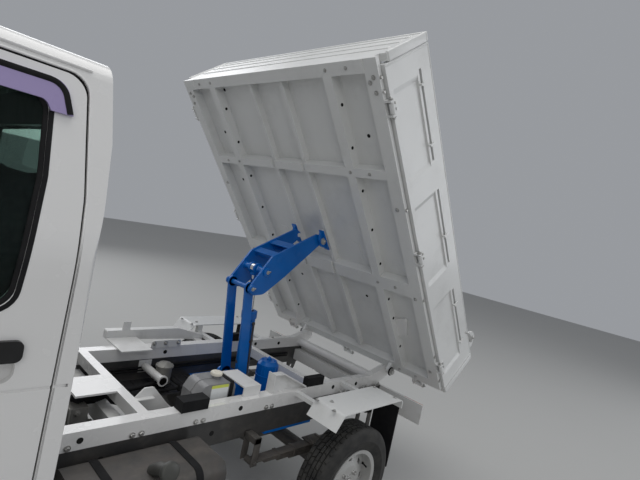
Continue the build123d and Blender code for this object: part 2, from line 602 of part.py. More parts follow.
def make_subframe():
    rail = block(SUB_FRONT, SUB_STEP_X, RAIL_INNER, RAIL_INNER + RAIL_WIDTH, RAIL_TOP, SUB_TOP)
    tail = block(SUB_STEP_X, SUB_REAR, RAIL_INNER, RAIL_INNER + SUB_TAIL_WIDTH, RAIL_TOP, SUB_TOP)
    ear = prism_xz(outline([
        (SUB_REAR - 60, RAIL_TOP, 0), (SUB_REAR - 60, SUB_TOP, 0), (HINGE_X - 22, HINGE_Z + 18, 12),
        (HINGE_X + 22, HINGE_Z + 18, 12), (HINGE_X + 22, HINGE_Z - 30, 12), (SUB_REAR + 20, RAIL_TOP, 0)]),
        RAIL_INNER, RAIL_INNER + SUB_TAIL_WIDTH)
    pin = rod_y(HINGE_X, HINGE_Z, HINGE_PIN_RADIUS, RAIL_INNER - 8, RAIL_INNER + 76)
    add("subframe_rails", pair(rail + tail + ear + pin))
    beams = [
        block(x, x + SUB_BEAM_LENGTH, -RAIL_INNER, RAIL_INNER, SUB_TOP - 50 - drop, SUB_TOP - drop)
        for x, drop in zip(SUB_BEAMS_X, (0, 10))
    ]
    front = SUB_BEAMS_X[0]
    beams[0] += block(front - 156, front + 5, -127, 48, SUB_TOP - 8, SUB_TOP)
    beams.append(rod_y(SUB_REAR + 15, RAIL_TOP + 32, SUB_TUBE_RADIUS, -RAIL_INNER, RAIL_INNER))
    add("subframe_crossmembers", *beams)
    add("subframe_brackets", *subframe_brackets())
    x, pad_y = FRONT_PAD_X, RAIL_INNER + 5
    front_pad = block(x, x + PAD_LENGTH, -pad_y - 60, -pad_y, SUB_TOP, SUB_TOP + PAD_HEIGHT)
    x = SUB_STEP_X + 10
    pads = [block(x, x + PAD_LENGTH, pad_y, RAIL_INNER + SUB_TAIL_WIDTH, SUB_TOP, SUB_TOP + PAD_HEIGHT),
            block(300, 350, 260, 310, 500, FLOOR_Z),
            block(CAB_LENGTH - 40, CAB_LENGTH - 5, RAIL_INNER, RAIL_INNER + RAIL_WIDTH, RAIL_TOP, FLOOR_Z)]
    flap_x = REAR_AXLE_X + FENDER_REAR
    flap = block(flap_x, flap_x + 6, 562, 708, FENDER_TOP - 365, FENDER_TOP - 25)
    add("rubber_pads", front_pad, *[s for p in pads + [flap] for s in pair(p)])


def make_hoist_base():
    (lx, lz), (cx, cz) = LINK_FOOT, CYLINDER_FOOT
    cheek_y = LINK_Y + LINK_THICK + MOVE_GAP
    cheek = prism_xz(outline([
        (lx - 60, RAIL_BOTTOM, 0), (lx - 35, lz + 22, 24), (lx + 25, lz + 22, 24), (cx + 60, cz + 30, 24),
        (cx + 60, RAIL_BOTTOM, 0)]), cheek_y, cheek_y + HOIST_PLATE)
    link_pin = rod_y(lx, lz, 11, LINK_Y - 4, cheek_y)
    foot_pin = rod_y(cx, cz, 14, -cheek_y, cheek_y)
    wide = RAIL_INNER + RAIL_WIDTH
    foot = block(lx - 60, UNIT_X + 70, -wide, wide, RAIL_BOTTOM - HOIST_PLATE, RAIL_BOTTOM)
    base = foot + cheek + mirrored(cheek) + link_pin + mirrored(link_pin) + foot_pin
    add("hoist_base", base)
    unit = Pos(UNIT_X, UNIT_Y, RAIL_BOTTOM) * spun_up([
        (0, 0), (UNIT_RADIUS + 4, 0), (UNIT_RADIUS + 4, 10), (UNIT_RADIUS, 10), (UNIT_RADIUS, 185),
        (UNIT_RADIUS - 14, UNIT_HEIGHT), (0, UNIT_HEIGHT)])
    add("hoist_power_unit", unit)


def make_hoist():
    (lx, lz), (cx, cz) = LINK_FOOT, CYLINDER_FOOT
    heel = bed_point(ARM_HEEL_U, ARM_HEEL_W)
    link = bar(LINK_FOOT, ARM_TIP, 56, 50) - Pos(lx, lz) * Circle(11 + RUN_GAP)
    link = prism_xz(link, LINK_Y, LINK_Y + LINK_THICK)
    cross = rod_y(*ARM_TIP, 13, -LINK_Y, LINK_Y)
    add("tension_links", link + mirrored(link) + cross)
    plate_face = outline([
        (ARM_TIP[0] - 28, ARM_TIP[1] - 14, 22), (2435, 1213, 40), (heel[0] - 30, heel[1] + 34, 30),
        (heel[0] + 34, heel[1] + 4, 26), (heel[0] - 10, heel[1] - 36, 30), (2540, 1108, 80),
        (2420, 1012, 60), (ARM_TIP[0] + 18, ARM_TIP[1] - 34, 22)])
    plate_face -= Pos(*heel) * Circle(12 + RUN_GAP)
    plate = prism_xz(plate_face, ARM_PLATE_Y, ARM_PLATE_Y + ARM_PLATE_THICK)
    eye_y = 26 + MOVE_GAP
    stub = rod_y(*ARM_EYE, 15, eye_y, ARM_PLATE_Y)
    arm = plate + mirrored(plate) + stub + mirrored(stub)
    for x, z in ARM_TUBES:
        arm += rod_y(x, z, ARM_TUBE_RADIUS, -ARM_PLATE_Y, ARM_PLATE_Y)
    add("lift_arm", arm)
    axis = Vector(ARM_EYE[0] - cx, 0, ARM_EYE[1] - cz).normalized()
    foot = Vector(cx, 0, cz)
    barrel = rod(tuple(foot + axis * 15), tuple(foot + axis * BARREL_LENGTH), BARREL_RADIUS)
    eye = rod_y(cx, cz, 30, -30, 30)
    barrel = (barrel + eye) - rod_y(cx, cz, 14 + RUN_GAP, -60, 60)
    bore = rod(tuple(foot + axis * 60), tuple(foot + axis * (BARREL_LENGTH + 10)), ROD_RADIUS + RUN_GAP)
    add("cylinder_barrel", barrel - bore)
    tip = Vector(ARM_EYE[0], 0, ARM_EYE[1])
    piston_rod = rod(tuple(foot + axis * 250), tuple(tip), ROD_RADIUS) + rod_y(*ARM_EYE, 26, -26, 26)
    add("cylinder_rod", piston_rod)


# Bed, modelled lowered and then tipped
def bed_point(u, w):
    """A point of the tipped bed in X and Z."""
    c, s = math.cos(math.radians(TIP_ANGLE)), math.sin(math.radians(TIP_ANGLE))
    return (HINGE_X - u * c + w * s, HINGE_Z + u * s + w * c)


def tipped(shape):
    hinge = Axis((HINGE_X, 0, HINGE_Z), (0, 1, 0))
    return shape.rotate(hinge, TIP_ANGLE)


def bed_block(u0, u1, y0, y1, w0, w1):
    return block(HINGE_X - u1, HINGE_X - u0, y0, y1, HINGE_Z + w0, HINGE_Z + w1)


def add_bed(name, *shapes):
    solids = []
    for shape in shapes:
        solids += shape if isinstance(shape, list) else list(shape.solids())
    add(name, [tipped(solid) for solid in solids])


def make_bed():
    sill_top = BED_UNDER + BED_SILL_HEIGHT
    board_back = BED_FRONT - HEADBOARD_THICK
    floor = bed_block(-BED_TAIL, board_back, -BED_EDGE, BED_EDGE, sill_top, sill_top + BED_FLOOR_THICK)
    add_bed("bed_floor", floor)
    half = SILL_WIDTH / 2
    sill = bed_block(-BED_TAIL, BED_FRONT, SILL_Y - half, SILL_Y + half, BED_UNDER, sill_top)
    ear = prism_xz(outline([
        (HINGE_X - 40, HINGE_Z + BED_UNDER, 0), (HINGE_X - 20, HINGE_Z - 18, 14),
        (HINGE_X + 20, HINGE_Z - 18, 14), (HINGE_X + BED_TAIL, HINGE_Z + BED_UNDER, 0)]),
        RAIL_INNER + 46, RAIL_INNER + 66)
    ear = ear + bed_block(-BED_TAIL, 60, RAIL_INNER + 46, SILL_Y - half, BED_UNDER, sill_top)
    ear -= rod_y(HINGE_X, HINGE_Z, HINGE_PIN_RADIUS + RUN_GAP, 0, 700)
    rail = bed_block(-BED_TAIL, BED_FRONT, BED_RAIL_INNER, BED_EDGE, BED_UNDER, sill_top)
    rail += bed_block(-BED_TAIL, BED_FRONT, BED_EDGE, BED_RAIL_OUTER, BED_UNDER, GATE_BOTTOM - MOVE_GAP)
    rib = bed_block(60, BED_FRONT - 60, RIB_Y - RIB_WIDTH / 2, RIB_Y + RIB_WIDTH / 2, BED_UNDER + 15, sill_top)
    heel_x = HINGE_X - ARM_HEEL_U
    heel_z = HINGE_Z + ARM_HEEL_W
    lug_y = ARM_PLATE_Y + ARM_PLATE_THICK + MOVE_GAP
    lug = prism_xz(outline([
        (heel_x - 60, heel_z + 29, 0), (heel_x - 22, heel_z - 22, 20), (heel_x + 22, heel_z - 22, 20),
        (heel_x + 60, heel_z + 29, 0)]), lug_y, lug_y + 14)
    lug += rod_y(heel_x, heel_z, 12, ARM_PLATE_Y - 4, lug_y)
    add_bed("bed_sills", pair(sill + ear), pair(rail), pair(rib + lug))
    spans = [(-BED_TAIL, 50), (651, 736), (1316, 1361), (BED_FRONT - 55, BED_FRONT)]
    gaps = [
        (-(RIB_Y - RIB_WIDTH / 2), RIB_Y - RIB_WIDTH / 2),
        (RIB_Y + RIB_WIDTH / 2, SILL_Y - half),
        (SILL_Y + half, BED_RAIL_INNER),
    ]
    pieces = []
    for u0, u1 in spans[1:3]:
        for k, (y0, y1) in enumerate(gaps):
            piece = bed_block(u0, u1, y0, y1, BED_UNDER, sill_top)
            pieces += [piece] if k == 0 else pair(piece)
    for u0, u1 in (spans[0], spans[3]):
        inner = RAIL_INNER + 46 if u0 < 0 else SILL_Y - half
        pieces += [bed_block(u0, u1, -inner, inner, BED_UNDER, sill_top)]
        pieces += pair(bed_block(u0, u1, SILL_Y + half, BED_RAIL_INNER, BED_UNDER, sill_top))
    add_bed("bed_crossmembers", *pieces)
    board = bed_block(board_back, BED_FRONT, -GATE_OUTER, GATE_OUTER, sill_top, GATE_TOP)
    add_bed("bed_headboard", board)


def hinge_line(u, y, w, along_y):
    """A plane at a hinge of the lowered bed whose Z axis runs along the hinge pin."""
    centre = (HINGE_X - u, y, HINGE_Z + w)
    return Plane(origin=centre, z_dir=(0, 1, 0) if along_y else (1, 0, 0))


def knuckle(u, y, w, along_y):
    """The barrel that turns on a gate's hinge pin."""
    ring = Cylinder(11, 40) - Cylinder(GATE_PIN_RADIUS + RUN_GAP, 50)
    return hinge_line(u, y, w, along_y) * ring


def pressed(start, end):
    """A pressed panel's recess with sloped ends, along A and inwards from B = 0."""
    slope = PRESS_SLOPE
    section = outline(points([
        (start, 5), (start, 0), (start + slope, -PRESS_DEPTH), (end - slope, -PRESS_DEPTH),
        (end, 0), (end, 5)]))
    return prism_xy(section, HINGE_Z + PRESS_LOW, HINGE_Z + PRESS_HIGH)


def gate_latch():
    """The latch plate that stands on a side gate's rear corner, with its pin bored."""
    plate = outline([
        (HINGE_X - 20, HINGE_Z + GATE_TOP - 20, 0), (HINGE_X - 20, HINGE_Z + GATE_TOP + 38, 14),
        (HINGE_X - 62, HINGE_Z + GATE_TOP + 84, 22), (HINGE_X - 108, HINGE_Z + GATE_TOP + 70, 26),
        (HINGE_X - 165, HINGE_Z + GATE_TOP - 20, 0)])
    plate -= Pos(HINGE_X - 76, HINGE_Z + GATE_TOP + 50) * Circle(9)
    return prism_xz(plate, GATE_OUTER - 20, GATE_OUTER - 8)


def make_gates():
    front = BED_FRONT - HEADBOARD_THICK - MOVE_GAP
    gate = bed_block(-BED_TAIL, front, GATE_OUTER - GATE_THICK, GATE_OUTER, GATE_BOTTOM, GATE_TOP)
    for u0, u1 in GATE_PANELS_U:
        gate -= Pos(HINGE_X - u1, GATE_OUTER, 0) * pressed(0, u1 - u0)
    for u0, u1 in GATE_SLOTS_U:
        gate -= bed_block(u0, u1, GATE_OUTER - SLOT_DEPTH, GATE_OUTER + 5, SLOT_LOW, SLOT_HIGH)
    for u in GATE_HOOKS_U:
        gate += bed_block(u - 5, u + 5, GATE_OUTER - 2, GATE_OUTER + 14, SLOT_LOW - 12, SLOT_LOW - 4)
        gate += bed_block(u - 5, u + 5, GATE_OUTER + 7, GATE_OUTER + 14, SLOT_LOW - 12, SLOT_HIGH + 8)
    gate += gate_latch()
    axis_y = GATE_OUTER + GATE_AXIS_OUT
    ears = []
    for u in GATE_HINGES_U:
        hole = hinge_line(u, axis_y, GATE_AXIS_W, False) * Cylinder(GATE_PIN_RADIUS + RUN_GAP, 50)
        strap = bed_block(u - 20, u + 20, GATE_OUTER, GATE_OUTER + 6, GATE_AXIS_W, PRESS_LOW)
        gate += (strap - hole) + knuckle(u, axis_y, GATE_AXIS_W, False)
        ear = bed_block(u - 34, u - 26, BED_RAIL_OUTER, axis_y + 8, BED_UNDER, GATE_AXIS_W + 7)
        ear += bed_block(u + 26, u + 34, BED_RAIL_OUTER, axis_y + 8, BED_UNDER, GATE_AXIS_W + 7)
        ears.append(ear + hinge_line(u, axis_y, GATE_AXIS_W, False) * Cylinder(GATE_PIN_RADIUS, 60))
    add_bed("side_gate_r", gate)
    add_bed("side_gate_l", mirrored(gate))
    near = BED_TAIL + MOVE_GAP
    far = near + GATE_THICK
    tail = bed_block(-far, -near, -GATE_OUTER, GATE_OUTER, GATE_BOTTOM, GATE_TOP)
    for y0, y1 in TAIL_PANELS_Y:
        tail -= Pos(HINGE_X + far, y0, 0) * Rot(0, 0, 90) * mirrored(pressed(0, y1 - y0))
    axis_u = -far - GATE_AXIS_OUT
    for y in TAIL_HINGES_Y:
        hole = hinge_line(axis_u, y, GATE_AXIS_W, True) * Cylinder(GATE_PIN_RADIUS + RUN_GAP, 50)
        strap = bed_block(-far - 6, -far, y - 20, y + 20, GATE_AXIS_W, PRESS_LOW)
        tail += (strap - hole) + knuckle(axis_u, y, GATE_AXIS_W, True)
        ear = bed_block(axis_u - 8, -BED_TAIL, y - 34, y - 26, BED_UNDER, GATE_AXIS_W + 7)
        ear += bed_block(axis_u - 8, -BED_TAIL, y + 26, y + 34, BED_UNDER, GATE_AXIS_W + 7)
        ears.append(ear + hinge_line(axis_u, y, GATE_AXIS_W, True) * Cylinder(GATE_PIN_RADIUS, 60))
    add_bed("tailgate", tail)
    side_ears, tail_ears = ears[:len(GATE_HINGES_U)], ears[len(GATE_HINGES_U):]
    add_bed("gate_hinges", *[s for ear in side_ears for s in pair(ear)], *tail_ears)


# Running gear and tanks
def make_running_gear():
    z = TYRE_RADIUS
    x = REAR_AXLE_X
    rail_outer = RAIL_INNER + RAIL_WIDTH
    tube = rod_y(x, z, 35, -(WHEEL_Y - 70), WHEEL_Y - 70)
    diff = rod((x - 110, 0, z), (x + 90, 0, z), 105)
    half = rod_y(x, z, 105, WHEEL_Y - 75, WHEEL_Y - 20)
    half += rod_y(x, z, SPINDLE_RADIUS, WHEEL_Y - 30, WHEEL_Y + 30)
    half += block(x - 45, x + 45, 405, 455, z, z + 38)
    add("rear_axle", tube + diff + half + mirrored(half))
    spring = block(x - 420, x + 420, 405, 455, z + 38, z + 78)
    for end in (x - 430, x + 390):
        spring += block(end, end + 40, rail_outer, 455, z + 78, RAIL_BOTTOM + 30)
    add("leaf_springs", pair(spring))
    add("engine_block", block(SEAT_BOX_X + 120, ENGINE_REAR, -220, 220, 330, SEAT_BOX_TOP - 50))
    gearbox = block(ENGINE_REAR, 1640, -120, 120, 330, 550)
    shaft = rod((1640, 0, 400), (x - 100, 0, z), 28) - diff
    drum = rod((1640, 0, 400), (1668, 0, 396), 78)
    add("driveline", gearbox + shaft + drum)
    tank = fillet(block(1450, 1950, -640, -400, 330, 520).edges().filter_by(Axis.X), 40)
    for start in (1540, 1820):
        tank += block(start, start + 40, -400, -rail_outer, 440, 480)
    add("fuel_tank", tank)
    (front, rear), foot, top = OIL_TANK_X, OIL_TANK_FOOT, OIL_TANK_TOP
    oil = prism_xz(outline([
        (front, foot, 20), (front, top - 48, 0), (front + 29, top, 40), (rear - 8, top, 30),
        (rear, foot, 20)]), *OIL_TANK_Y)
    neck_x, neck_y = rear - 76, sum(OIL_TANK_Y) / 2
    add("oil_tank", oil + rod((neck_x, neck_y, top - 5), (neck_x, neck_y, top + 14), 18))
    muffler = rod((1500, 480, 380), (1950, 480, 380), 75) + rod((1950, 480, 380), (2300, 500, 380), 22)
    for start in (1560, 1860):
        muffler += block(start, start + 25, rail_outer, 480, 440, 465)
    add("exhaust", muffler)
    low = z - KNUCKLE_DOWN - 5
    beam = block(FRONT_AXLE_X - 35, FRONT_AXLE_X + 35, 60 - KINGPIN_Y, KINGPIN_Y - 60, low - 32, low)
    side = rod((FRONT_AXLE_X, KINGPIN_Y, low), (FRONT_AXLE_X, KINGPIN_Y, low + 38), KINGPIN_RADIUS)
    side += block(FRONT_AXLE_X - 16, FRONT_AXLE_X + 16, KINGPIN_Y - 60, KINGPIN_Y, low - 32, low)
    side += rod((FRONT_AXLE_X, KINGPIN_Y, low - 32), (FRONT_AXLE_X, KINGPIN_Y, low), 20)
    side += block(FRONT_AXLE_X - 30, FRONT_AXLE_X + 30, 260, 310, low, RAIL_BOTTOM)
    strut = rod((FRONT_AXLE_X, KINGPIN_Y, z + KNUCKLE_UP + RUN_GAP),
                (FRONT_AXLE_X, KINGPIN_Y, SEAT_BOX_TOP - FLOOR_THICK), 25)
    add("front_suspension", beam + side + mirrored(side), pair(strut))
    top = FENDER_TOP
    fender = prism_xz(outline([
        (x - 230, 575, 0), (x - 185, top, 20), (x + FENDER_REAR, top, 20), (x + FENDER_REAR, 600, 0),
        (x + FENDER_REAR - 5, 600, 0), (x + FENDER_REAR - 5, top - 5, 15), (x - 182, top - 5, 15),
        (x - 226, 573, 0)]), 543, 724)
    for start, inner in ((x - 150, rail_outer), (x + 210, RAIL_INNER + 40)):
        fender += block(start, start + 30, inner, 580, 580, 600)
        fender += block(start, start + 30, 550, 580, 600, top - 5)
    add("rear_fenders", pair(fender))
    lamp = block(RAIL_REAR + LAMP_BEAM_THICK, RAIL_REAR + LAMP_BEAM_THICK + 30, 480, 660, 440, 530)
    add("tail_lamps", pair(lamp))


make_doors()
make_cab()
make_steering()
make_wheels()
make_knuckles()
make_frame()
make_subframe()
make_hoist_base()
make_hoist()
make_bed()
make_gates()
make_running_gear()

everything = [solid for solids in NODES.values() for solid in solids]
low = min(solid.bounding_box().min.X for solid in everything)
high = max(solid.bounding_box().max.X for solid in everything)
SHIFT = -(low + high) / 2
os.makedirs("parts", exist_ok=True)
for name, solids in NODES.items():
    placed = [Pos(SHIFT, 0, 0) * solid for solid in solids]
    shape = placed[0] if len(placed) == 1 else Compound(children=placed)
    export_step(shape, "parts/" + name + ".step")
print("shift", round(SHIFT, 3), "length", round(high - low, 1))
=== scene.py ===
import bmesh
import bpy
import json
from math import cos, exp, pi, radians, sin, tan
from mathutils import Matrix, Vector
from mathutils.bvhtree import BVHTree


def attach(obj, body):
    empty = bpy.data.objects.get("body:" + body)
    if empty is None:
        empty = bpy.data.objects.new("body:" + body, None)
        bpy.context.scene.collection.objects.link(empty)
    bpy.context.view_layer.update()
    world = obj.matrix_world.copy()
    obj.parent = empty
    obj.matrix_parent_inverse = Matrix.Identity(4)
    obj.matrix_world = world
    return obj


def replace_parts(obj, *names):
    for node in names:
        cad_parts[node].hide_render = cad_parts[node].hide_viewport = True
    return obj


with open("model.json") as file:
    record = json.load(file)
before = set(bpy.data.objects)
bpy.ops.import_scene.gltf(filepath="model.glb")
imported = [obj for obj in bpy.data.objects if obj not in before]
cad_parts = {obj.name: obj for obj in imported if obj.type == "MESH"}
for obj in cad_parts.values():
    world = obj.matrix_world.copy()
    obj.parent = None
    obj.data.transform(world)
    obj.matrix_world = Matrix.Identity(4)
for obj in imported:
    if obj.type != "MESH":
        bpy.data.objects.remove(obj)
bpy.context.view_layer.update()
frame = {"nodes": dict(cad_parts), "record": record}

# Places of the truck in millimetres: x from the front bumper, y to the right, z from the ground
SHIFT = -1805.53
CAB_LENGTH = 1335.0
CAB_HALF_WIDTH = 737.0
ROOF_SEAM = 1672.0
DOOR_FRONT = 385.0
DOOR_REAR = CAB_LENGTH - 50.0
DOOR_TOP = ROOF_SEAM - 10.0
DOOR_STEP = 622.0
DOOR_BOTTOM = 400.0
WINDOW_BOTTOM = 1125.0
WINDOW_TOP = ROOF_SEAM - 68.0
SEAT_BOX_TOP = 730
AXLES_X = {"f": 760.0, "r": 2660.0}
WHEEL_Y = 650.0
TYRE_RADIUS = 268.0
KINGPIN_Y = 545
RAIL_INNER = 325.0
RAIL_OUTER = 380.0
RAIL_REAR = 3255
SUB_TOP = 605
FENDER_TOP = 645.0
HINGE_X, HINGE_Z = 3299.0, 626.0
TIP = radians(51.7)
BED_FRONT = 1834
BED_UNDER = 30
GATE_HINGES = (171, 907, 1634)
ARM_HEEL = (2340, 1040)
ARM_TIP = (2415, 1130)
LINK_FOOT = (2410, 540)
BARREL_FOOT = (2470, 470)
SIDES = {"l": -1, "r": 1}
OUT, IN = (0, 1, 0), (0, -1, 0)
REAR, UP, DOWN = (1, 0, 0), (0, 0, 1), (0, 0, -1)

# Rays that find the cab's skin start from these places
RAY_SIDE, RAY_FRONT, RAY_REAR = 1200, -400, 2500


def truck(x, y, z):
    """A point of the truck, in millimetres, as a point of the frame, in metres."""
    return Vector(((x + SHIFT) / 1000, y / 1000, z / 1000))


def bed(u, y, w):
    """A point of the raised bed: u forward from its hinge, w up from it while the bed is level."""
    c, s = cos(TIP), sin(TIP)
    return truck(HINGE_X - u * c + w * s, y, HINGE_Z + u * s + w * c)


# Outlines
def rounded(rows, steps=6):
    """Points round a closed outline of (a, b, corner radius)."""
    almost_straight = 1.56
    made = []
    for before, here, after in zip(rows[-1:] + rows[:-1], rows, rows[1:] + rows[:1]):
        p, radius = Vector(here[:2]), here[2]
        to_before = (Vector(before[:2]) - p).normalized()
        to_after = (Vector(after[:2]) - p).normalized()
        half = to_before.angle(to_after, pi) / 2
        if radius <= 0 or half > almost_straight:
            made.append(p)
            continue
        reach = radius / tan(half)
        centre = p + (to_before + to_after).normalized() * (radius / sin(half))
        start, end = p + to_before * reach - centre, p + to_after * reach - centre
        turn = start.angle_signed(end)
        for k in range(steps + 1):
            c, s = cos(-turn * k / steps), sin(-turn * k / steps)
            made.append(centre + Vector((start.x * c - start.y * s, start.x * s + start.y * c)))
    return made


def spaced(points, step, closed=True):
    """The same line with points at even distances of about one step."""
    loop = points + points[:1] if closed else points
    made = []
    for p, q in zip(loop, loop[1:]):
        count = max(1, round((q - p).length / step))
        made += [p.lerp(q, k / count) for k in range(count)]
    return made if closed else made + [loop[-1]]


def directions(points, closed):
    """The direction of a line at each of its points."""
    first, last = (points[-1:], points[:1]) if closed else (points[:1], points[-1:])
    line = first + points + last
    return [(after - before).normalized() for before, after in zip(line, line[2:])]


def circle(count, radius, start=0.0):
    """Pairs evenly round a circle, from a start angle in degrees."""
    angles = [radians(start) + 2 * pi * k / count for k in range(count)]
    return [(radius * cos(a), radius * sin(a)) for a in angles]


def rect(a0, a1, b0, b1, radius):
    return [(a0, b0, radius), (a1, b0, radius), (a1, b1, radius), (a0, b1, radius)]


def door_rows(grow):
    return [
        (DOOR_FRONT - grow, DOOR_STEP - grow, 15), (905 - grow, DOOR_STEP - grow, 20),
        (1105 - grow, DOOR_BOTTOM - grow, 30), (DOOR_REAR + grow, DOOR_BOTTOM - grow, 15),
        (DOOR_REAR + grow, 1385, 300), (DOOR_REAR - 23 + grow, DOOR_TOP + grow, 50),
        (690 - grow, DOOR_TOP + grow, 60), (DOOR_FRONT - grow, 1020, 120)]


def window_rows(grow):
    return [
        (470 - grow, WINDOW_BOTTOM - grow, 45), (DOOR_REAR - 113 + grow, WINDOW_BOTTOM - grow, 50),
        (DOOR_REAR - 90 + grow, (WINDOW_BOTTOM + WINDOW_TOP) / 2 + 55, (WINDOW_TOP - WINDOW_BOTTOM) * 0.4),
        (DOOR_REAR - 95 + grow, WINDOW_TOP + grow, 45), (735 - grow * 1.4, WINDOW_TOP + grow, 45)]


# Meshes
class Shape:
    """Mesh parts in millimetres that become one piece.

    place turns a point into the frame's metres. With sign -1, what is added comes out on the left side.
    """

    def __init__(self, place=truck, sign=1):
        self.bm = bmesh.new()
        self.place = place
        self.sign = sign

    def halves(self):
        """The shape twice, for the parts of its left half and for the same parts of its right half."""
        for sign in (-1, 1):
            self.sign = sign
            yield self

    def side(self, p):
        return Vector((p[0], p[1] * self.sign, p[2]))

    def rings(self, rings, closed=False):
        """Faces between rings of points. closed joins the last ring to the first."""
        rows = [[self.bm.verts.new(p) for p in ring] for ring in rings]
        size = len(rows[0])
        for a, b in zip(rows, rows[1:] + rows[:1] if closed else rows[1:]):
            for k in range(size):
                self.bm.faces.new((a[k], a[(k + 1) % size], b[(k + 1) % size], b[k]))
        if not closed:
            self.bm.faces.new(rows[0][::-1])
            self.bm.faces.new(rows[-1])
        return self

    def box(self, x0, x1, y0, y1, z0, z1, bevel=1.5, segments=2):
        y0, y1 = sorted((y0 * self.sign, y1 * self.sign))
        low, high = Vector((x0, y0, z0)), Vector((x1, y1, z1))
        made = bmesh.ops.create_cube(self.bm, size=1)["verts"]
        for v in made:
            v.co = (low + high) / 2 + v.co * (high - low)
        edges = list({e for v in made for e in v.link_edges})
        bmesh.ops.bevel(self.bm, geom=edges, offset=bevel, segments=segments, profile=0.5, affect="EDGES")
        return self

    def tube(self, points, radius, sides=10, closed=False):
        """A round bar along points. radius is one number, or one for each point."""
        points = [self.side(p) for p in points]
        radii = radius if isinstance(radius, list) else [radius] * len(points)
        rings, normal = [], None
        for p, r, along in zip(points, radii, directions(points, closed)):
            if normal is None:
                normal = along.orthogonal().normalized()
            normal = (normal - along * normal.dot(along)).normalized()
            across = along.cross(normal)
            rings.append([p + r * (normal * c + across * s) for c, s in circle(sides, 1)])
        return self.rings(rings, closed)

    def weld(self, points, size, ripple, pitch):
        return self.tube(points, [size + ripple * sin(k * pitch) for k in range(len(points))], 6)

    def lathe(self, rows, at, axis, steps=20):
        """A turned part from rows of (radius, along the axis), standing at a point."""
        at, axis = self.side(at), self.side(axis).normalized()
        across = axis.orthogonal().normalized()
        other = axis.cross(across)
        return self.rings([[
            at + axis * along + max(radius, 0.05) * (across * c + other * s)
            for c, s in circle(steps, 1)] for radius, along in rows])

    def bolt(self, at, axis, size, stud=0.0):
        """A hexagon head on its washer, with the stud's end if it is a nut. size is the head's radius."""
        self.lathe([(size * 1.45, 0), (size * 1.45, size * 0.2), (size * 1.1, size * 0.28)], at, axis, 16)
        self.lathe([(size, size * 0.2), (size, size * 0.85), (size * 0.82, size)], at, axis, 6)
        if stud:
            end = size + stud
            self.lathe([(size * 0.5, size), (size * 0.5, end - 1), (size * 0.4, end)], at, axis, 10)
        return self

    def plate(self, rows, low, high, axis="y", bevel=1.0):
        """A flat plate of an outline of (a, b, corner radius) between two places along an axis."""
        sign = self.sign
        if axis == "y":
            low, high = sorted((low * sign, high * sign))
        order = {"x": lambda a, b, c: (c, a * sign, b), "y": lambda a, b, c: (a, c, b),
                 "z": lambda a, b, c: (a, b * sign, c)}[axis]
        loop = rounded(rows)
        lower, upper = [[self.bm.verts.new(order(p.x, p.y, c)) for p in loop] for c in (low, high)]
        faces = [self.bm.faces.new(lower), self.bm.faces.new(upper)]
        for a, b, c, d in zip(lower, lower[1:] + lower[:1], upper[1:] + upper[:1], upper):
            self.bm.faces.new((a, b, c, d))
        if bevel:
            edges = list({e for f in faces for e in f.edges})
            bmesh.ops.bevel(self.bm, geom=edges, offset=bevel, segments=1, affect="EDGES")
        return self

    def finish(self):
        """The mesh in the frame's metres, with its faces turned outwards."""
        for v in self.bm.verts:
            v.co = self.place(*v.co)
        bmesh.ops.recalc_face_normals(self.bm, faces=self.bm.faces)
        return self.bm

    def make(self, name, body, look, smooth=35):
        return piece(name, self.finish(), body, look, smooth)


def link(name, data):
    """A new object of the scene."""
    made = bpy.data.objects.new(name, data)
    bpy.context.scene.collection.objects.link(made)
    return made


def piece(name, bm, body, look, smooth=35):
    """An object of the truck from a finished mesh, on its body and with its material."""
    mesh = bpy.data.meshes.new(name)
    bm.to_mesh(mesh)
    bm.free()
    mesh.polygons.foreach_set("use_smooth", [True] * len(mesh.polygons))
    mesh.set_sharp_from_angle(angle=radians(smooth))
    mesh.materials.append(M[look])
    made = link(name, mesh)
    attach(made, body)
    return made


def strip(shape, points, out, width, height, sink=2.0, closed=True, crown=0.35):
    """A moulded strip along points: width across it, height above the surface that faces out."""
    out = Vector(out)
    section = [(-0.5, -sink), (-0.5, height * 0.45), (-0.5 + crown, height), (0.5 - crown, height),
               (0.5, height * 0.45), (0.5, -sink)]
    rings = []
    for p, along in zip(points, directions(points, closed)):
        up = (out - along * out.dot(along)).normalized()
        across = along.cross(up)
        rings.append([p + across * (a * width) + up * h for a, h in section])
    return shape.rings(rings, closed)


def lining(name, node, body, look, way, least=0.5, gap=3.0, keep=lambda p: True):
    """A trim sheet that lies on the faces of a node that look one way."""
    mesh = frame["nodes"][node].data
    way = Vector(way)
    bm = bmesh.new()
    made = {}
    for polygon in mesh.polygons:
        if polygon.normal.dot(way) < least or not keep(polygon.center):
            continue
        corners = []
        for index in polygon.vertices:
            co = mesh.vertices[index].co
            key = tuple(round(c, 5) for c in co)
            if key not in made:
                made[key] = bm.verts.new(co + way * gap / 1000)
            corners.append(made[key])
        if len(set(corners)) == len(corners) and bm.faces.get(corners) is None:
            bm.faces.new(corners)
    return piece(name, bm, body, look, 40)


# Rays onto the solids
TREES = {}


def skin(nodes, origin, way):
    """Where a ray meets the first of these nodes that it meets, in truck millimetres, or None."""
    for node in nodes:
        if node not in TREES:
            mesh = frame["nodes"][node].data
            faces = [p.vertices for p in mesh.polygons]
            TREES[node] = BVHTree.FromPolygons([v.co for v in mesh.vertices], faces)
        found = TREES[node].ray_cast(truck(*origin), Vector(way), 4.0)[0]
        if found is not None:
            return Vector((found.x * 1000 - SHIFT, found.y * 1000, found.z * 1000))
    return None


def from_side(sign, nodes, x, z):
    return skin(nodes, (x, sign * RAY_SIDE, z), (0, -sign, 0))


